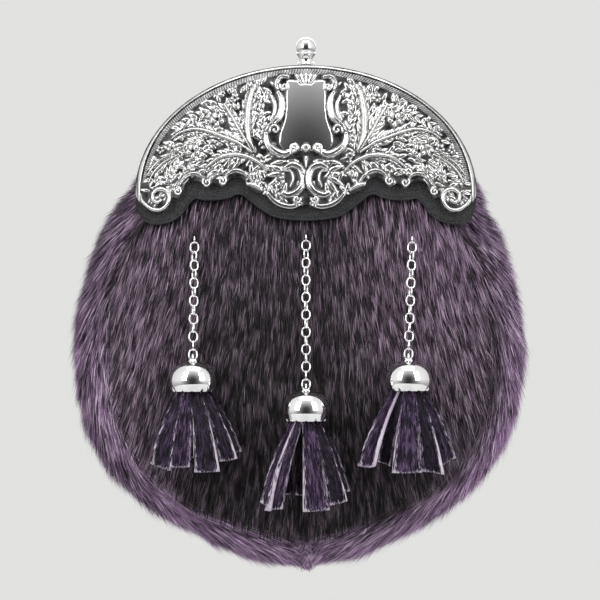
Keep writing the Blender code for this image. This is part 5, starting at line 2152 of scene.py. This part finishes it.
@dataclass
class PouchBack:
    """The leather back with its mouth, flap, stud and strap loops."""

    finishes: Finishes
    placer: Placer
    mouth: tuple[float, float, float] = (0.092, 0.026, -0.030)
    flap_half: float = 0.055
    flap_top: float = -0.020
    flap_straight: float = 0.034
    flap_point: float = 0.036
    stud: tuple[float, float] = (0.006, 0.0026)
    loop_size: tuple[float, float, float] = (0.018, 0.026, 0.006)
    loop_apart: float = 0.080
    mouth_corner: float = 0.0012
    flap_seam: float = 0.0032
    panel_seam: float = 0.0036
    edges: tuple[float, float] = (0.0006, 0.0007)
    panel_points: int = 220
    stitch: tuple[float, float, float] = (0.0026, 0.0019, 0.00030)

    def flap_outline(self, inset: float) -> Array:
        """Give the flap's outline, a distance inside its edge.

        Args:
            inset: The distance, in metres.

        Returns:
            One row for each point.
        """
        turns = np.linspace(0, math.pi, 61)
        half = self.flap_half - inset
        low = self.flap_top - self.flap_straight
        arc = points_of(half * np.cos(turns), low - (self.flap_point - inset) * np.sin(turns))
        top = self.flap_top - inset
        return np.vstack([(-half, top), (half, top), arc])

    def mouth_outline(self) -> Array:
        """Give the mouth's outline with rounded corners.

        Returns:
            One row for each point.
        """
        width, height, top = self.mouth
        corner, parts = self.mouth_corner, []
        for cx, cz, start in ((1, 1, 0), (-1, 1, 90), (-1, -1, 180), (1, -1, 270)):
            turns = np.radians(np.linspace(start, start + 90, 7))
            middle = (cx * (width / 2 - corner), top - height / 2 + cz * (height / 2 - corner))
            parts.append(corner * points_of(np.cos(turns), np.sin(turns)) + middle)
        return np.vstack(parts)

    def stitches(self, outline: Array, depth: float) -> Mesh:
        """Sew a row of stitches along an outline.

        Args:
            outline: Points across and up, round the row.
            depth: The leather's face.

        Returns:
            The stitches as one mesh.
        """
        spacing, length, radius = self.stitch
        closed = np.vstack([outline, outline[:1]])
        along = way_along(closed)
        count = int(along[-1] / spacing)
        at = np.arange(count) * along[-1] / count
        points, ahead = (points_of(np.interp(way, along, closed[:, 0]), depth,
                                   np.interp(way, along, closed[:, 1]))
                         for way in (at, (at + 0.0005) % along[-1]))
        turns = np.linspace(0, math.pi, 9)
        profile = points_of(np.maximum(radius * np.sin(turns) ** 0.6, 0.00002),
                            -length / 2 * np.cos(turns))
        return self.placer.place(turned_mesh(profile, 8, Vector()), points, ahead - points,
                                 np.tile((0.0, 1.0, 0.0), (count, 1)), self.finishes.thread)

    def panel_outline(self, inset: float) -> Array:
        """Give the back panel's outline, a distance inside its edge.

        Args:
            inset: The distance, in metres.

        Returns:
            One row for each point.
        """
        angles = full_turn(self.panel_points)
        line = FORM.seam(angles) * 0.09 + FORM.bag(angles) * 0.91
        middle = np.array([0, FORM.centre_z])
        away = line - middle
        reach = np.linalg.norm(away, axis=1, keepdims=True)
        return middle + away * (reach - inset) / reach

    def loop_path(self) -> Array:
        """Give the middle line of a strap loop's leather, up and outwards.

        Returns:
            One row for each point.
        """
        half, foot = self.loop_size[1] / 2, self.loop_size[2]
        wall, room = FORM.leather_wall / 2, FORM.strap_room
        points = np.array([(half, wall), (half - foot * 0.5, wall), (half - foot - 0.0002, wall),
                           (half - foot - 0.0012, room * 0.5 + wall),
                           (half - foot - 0.0022, room * 0.92 + wall),
                           (half - foot - 0.0042, room + wall)])
        half_line = through_points(points, 8)
        return np.vstack([half_line, (half_line * (-1, 1))[::-1][1:]])

    def build_loop(self, side: Side) -> None:
        """Build one strap loop as a swept strip of leather.

        Args:
            side: The side that it is on.
        """
        path = self.loop_path()
        along = unit(np.gradient(path, axis=0))
        normal = points_of(along[:, 1], -along[:, 0])
        turns = full_turn(40)
        width, wall = self.loop_size[0], FORM.leather_wall - 0.0001
        flat = np.sign(np.cos(turns)) * np.abs(np.cos(turns)) ** 0.22 * width / 2
        thick = np.sign(np.sin(turns)) * np.abs(np.sin(turns)) ** 0.55 * wall / 2
        base = FORM.back_face + FORM.seam_gap
        z = path[:, :1] + normal[:, :1] * thick
        y = base + path[:, 1:] + normal[:, 1:] * thick
        middle = side.value * self.loop_apart / 2
        name = "strap_loop_" + side.name.lower()
        body = grid_mesh(points_of(middle + flat, y, z))
        rows = []
        for foot in (1, -1):
            rim = np.array([(-0.0066, 0.0014), (0.0066, 0.0014), (0.0066, 0.0046),
                            (-0.0066, 0.0046)]) + (middle, 0)
            rim[:, 1] = foot * (self.loop_size[1] / 2 - rim[:, 1])
            rows.append(self.stitches(rim, base + FORM.leather_wall))
        hand_over(name + "_leather", body, self.finishes.leather, Slot.BLACK_LEATHER, name)
        hand_over(name + "_stitches", join_meshes(*rows), self.finishes.thread,
                  Slot.BLACK_LEATHER)

    def build(self) -> None:
        """Build the back's sheets, seams, stud and loops."""
        face, wall = FORM.back_face, FORM.leather_wall
        back = sheet_mesh([self.panel_outline(0), self.mouth_outline()], face - wall, face,
                          self.edges[0])
        hand_over("back_leather", back, self.finishes.leather, Slot.BLACK_LEATHER, "back_panel")
        outer = face + FORM.seam_gap + wall
        flap = sheet_mesh([self.flap_outline(0)], face + FORM.seam_gap, outer, self.edges[1])
        hand_over("flap_leather", flap, self.finishes.leather, Slot.BLACK_LEATHER, "back_flap")
        seams = join_meshes(self.stitches(self.flap_outline(self.flap_seam), outer),
                            self.stitches(self.panel_outline(self.panel_seam), face))
        hand_over("back_stitches", seams, self.finishes.thread, Slot.BLACK_LEATHER)
        radius, height = self.stud
        z = self.flap_top - self.flap_straight - self.flap_point + 0.014
        turns = np.linspace(0, math.pi / 2 - 0.01, 16)
        crown = points_of(radius * np.cos(turns), height * (0.35 + 0.65 * np.sin(turns)))
        profile = np.vstack([(radius * 0.92, 0), (radius, height * 0.12), crown])
        stud = turned_mesh(profile, 56, Vector())
        stud.transform(Matrix.Translation((0, outer + FORM.seam_gap, z))
                       @ Matrix.Rotation(-math.pi / 2, 4, "X"))
        hand_over("stud_crown", stud, self.finishes.polished, Slot.CHROME, "flap_stud")
        for side in Side:
            self.build_loop(side)


# The studio

@dataclass
class Studio:
    """A pale floor, soft lights and the camera."""

    distance: float = 1.545
    lens: float = 214.3
    aim: tuple[float, float] = (-0.00252, -0.0641)
    floor_z: float = -0.25
    floor_radius: float = 0.5
    # How bright the room is from behind the pouch to before it
    room: Table = ((0.0, 0.55), (0.45, 0.80), (0.72, 0.90), (0.80, 0.68), (0.883, 0.42),
                   (0.933, 0.24), (0.97, 0.10), (0.993, 0.045), (1.0, 0.04))
    # Each light: degrees from the front and up, its distance, its size and its power
    lights: tuple = (("key_left", -42, 22, 1.1, (0.45, 0.9), 5.0),
                     ("key_right", 44, 20, 1.1, (0.45, 0.9), 4.4),
                     ("top_box", 0, 72, 1.0, (0.9, 0.5), 4.5),
                     ("rear_fill", 180, 30, 1.2, (0.8, 0.8), 8.0))

    def build_floor(self) -> None:
        """Lay a round pale floor."""
        turns = full_turn(96)
        points = points_of(self.floor_radius * np.cos(turns), self.floor_radius * np.sin(turns),
                           self.floor_z)
        mesh = mesh_from(points, [list(range(len(turns)))])
        made, sheet, shader = new_material("floor")
        cloud = sheet.noise(sheet.object_place(), 9.0, 3.0)
        tone = sheet.spread(cloud.outputs[0], 0.3, 0.7, 0.60, 0.64)
        sheet.feed(shader, {"Base Color": sheet.combine("Color", tone, tone, tone)})
        shader.inputs["Roughness"].default_value = 0.8
        floor = place_object("floor", mesh)
        floor.data.materials.append(made)

    def build_world(self) -> None:
        """Set a pale backdrop for the camera and a graded studio for everything else."""
        world = bpy.data.worlds.new("studio")
        bpy.context.scene.world = world
        world.use_nodes = True
        sheet = NodeSheet(world.node_tree)
        for node in list(world.node_tree.nodes):
            world.node_tree.nodes.remove(node)
        place = sheet.add("ShaderNodeTexCoord").outputs["Generated"]
        parts = sheet.add("ShaderNodeSeparateXYZ", {0: place})
        ahead = sheet.spread(parts.outputs[1], 1, -1)
        sky = sheet.add("ShaderNodeValToRGB", {0: ahead})
        ramp = sky.color_ramp
        while len(ramp.elements) < len(self.room):
            ramp.elements.new(0.5)
        for element, (at, level) in zip(ramp.elements, self.room):
            element.position = at
            element.color = (level, level, level, 1)
        rays = sheet.add("ShaderNodeLightPath")
        below = sheet.spread(parts.outputs[2], -0.30, 0.02, 0.45, 1.0)
        room = sheet.vector("SCALE", sky.outputs[0], scale=below)
        soft = sheet.blend(rays.outputs["Is Diffuse Ray"], room, (0.50, 0.50, 0.50))
        colour = sheet.blend(rays.outputs["Is Camera Ray"], soft, (0.760, 0.760, 0.750))
        back = sheet.add("ShaderNodeBackground", {0: colour, 1: 1.0})
        out = sheet.add("ShaderNodeOutputWorld")
        world.node_tree.links.new(back.outputs[0], out.inputs[0])

    def add_light(self, name: str, azimuth: float, elevation: float, away: float,
                  size: tuple[float, float], watts: float) -> None:
        """Hang a softbox that faces the pouch.

        Args:
            name: The light's name.
            azimuth: Degrees from the front, to the right.
            elevation: Degrees up.
            away: Its distance.
            size: Its width and height.
            watts: Its power.
        """
        light = bpy.data.lights.new(name, "AREA")
        light.shape, light.size, light.size_y, light.energy = "RECTANGLE", *size, watts
        made = place_object(name, light)
        turn, rise = math.radians(azimuth), math.radians(elevation)
        target = Vector((0, 0, FORM.centre_z))
        made.location = target + away * Vector((
            math.sin(turn) * math.cos(rise), -math.cos(turn) * math.cos(rise), math.sin(rise)))
        made.rotation_euler = (target - made.location).to_track_quat("-Z", "Y").to_euler()
        made.visible_camera = False

    def build(self) -> None:
        """Build the floor, the world, the lights and the camera."""
        self.build_floor()
        self.build_world()
        for row in self.lights:
            self.add_light(*row)
        camera = bpy.data.cameras.new("camera")
        camera.lens, camera.sensor_width = self.lens, 36
        made = place_object("camera", camera)
        made.location = (self.aim[0], -self.distance, self.aim[1])
        made.rotation_euler = (math.pi / 2, 0, 0)
        bpy.context.scene.camera = made
        bpy.context.scene.view_settings.view_transform = "Standard"


# Each strip of a tassel: the angle of its head from the front, then its lower corners across,
# down and forward in millimetres from the middle of the dome's lip, its bow and how light its
# fur is painted: painted light where the strip catches the lamps, painted shade where it hangs
# in shadow, with less glint still below 0
LEFT_STRIPS = (
    (-58, (-17.6, 29.8, 8), (-9.6, 32.4, 11), 1, 0.25),
    (-26, (-9, 31, 12), (-0.6, 31.2, 9.2), 1.2, 0.7),
    (10, (0.8, 33.4, 9.6), (10.6, 32.8, 14.4), 1.5, 0),
    (48, (11.2, 29, 8.2), (17.8, 27.6, 11.4), 1, 0),
    (84, (17, 25.8, 3.6), (20.4, 25.2, -2.6), 0.6, -0.1),
    (132, (14.2, 26, -4.2), (7.4, 27.6, -6.8), 0.6, 0),
    (180, (4, 28, -6), (-4.4, 28, -6), 0.6, 0),
    (228, (-7.2, 27.8, -6.2), (-13.6, 26.4, -3), 0.6, 0),
)
MIDDLE_STRIPS = (
    (-62, (-19.2, 33.6, 6), (-17, 36.6, 11.6), 1, 0.6),
    (-32, (-16.4, 36.8, 11.4), (-9.4, 36.4, 8.4), 1.2, 0.5),
    (6, (-0.6, 37, 14), (9.8, 36.6, 10), 1.4, 1),
    (44, (9.6, 35, 7.6), (16.6, 33, 9.6), 1, -0.2),
    (84, (15.6, 31, 4), (18.4, 29.4, -2), 0.6, -0.1),
    (132, (12.8, 30.4, -4), (6.2, 31, -6.6), 0.6, 0),
    (180, (3.4, 31.4, -6.2), (-4.4, 31.2, -6.2), 0.6, 0),
    (228, (-6.8, 31, -6.2), (-12.8, 30, -3.2), 0.6, 0),
)
RIGHT_STRIPS = (
    (-60, (-21.4, 31, 6.2), (-15.2, 30, 12), 1, 0.5),
    (-24, (-13, 29.6, 4), (-7.6, 31.6, 4), 0.8, -0.2),
    (8, (-6.8, 33.6, 13.6), (5.4, 33.6, 11), 1.6, 1),
    (44, (5.2, 33.4, 7.4), (13.2, 34.4, 13.8), 1.4, -0.2),
    (78, (13.4, 31.6, 9.2), (19.8, 28, 3.6), 0.8, 0.35),
    (132, (14.6, 28.6, -3.8), (8.4, 29.6, -6.6), 0.6, 0),
    (180, (4, 30, -6.2), (-4.4, 30, -6.2), 0.6, 0),
    (228, (-7.6, 29.6, -6.2), (-14.6, 28.2, -3), 0.6, 0),
)
HANGINGS = (
    Hanging("left", (-0.498, 0.403), (-0.503, -0.135), 35, LEFT_STRIPS),
    Hanging("middle", (0.000, 0.411), (0.000, -0.266), -30, MIDDLE_STRIPS),
    Hanging("right", (0.474, 0.403), (0.455, -0.132), 25, RIGHT_STRIPS),
)


def main() -> None:
    """Build the pouch piece by piece."""
    logging.basicConfig(level=logging.INFO, format="%(message)s")
    finishes, grower, placer = Finishes(), HairGrower(), Placer()
    FrontPanel(finishes, grower).build(HANGINGS)
    BorderFur(finishes, grower).build()
    CantleLeather(finishes).build()
    Cantle(finishes).build()
    FinialKnob(finishes).build()
    Chains(finishes, placer).build(HANGINGS)
    Domes(finishes).build(HANGINGS)
    Tassels(finishes, grower).build(HANGINGS)
    PouchBack(finishes, placer).build()
    Studio().build()
    bpy.data.objects.remove(grower.strand)


if __name__ == "__main__":
    main()
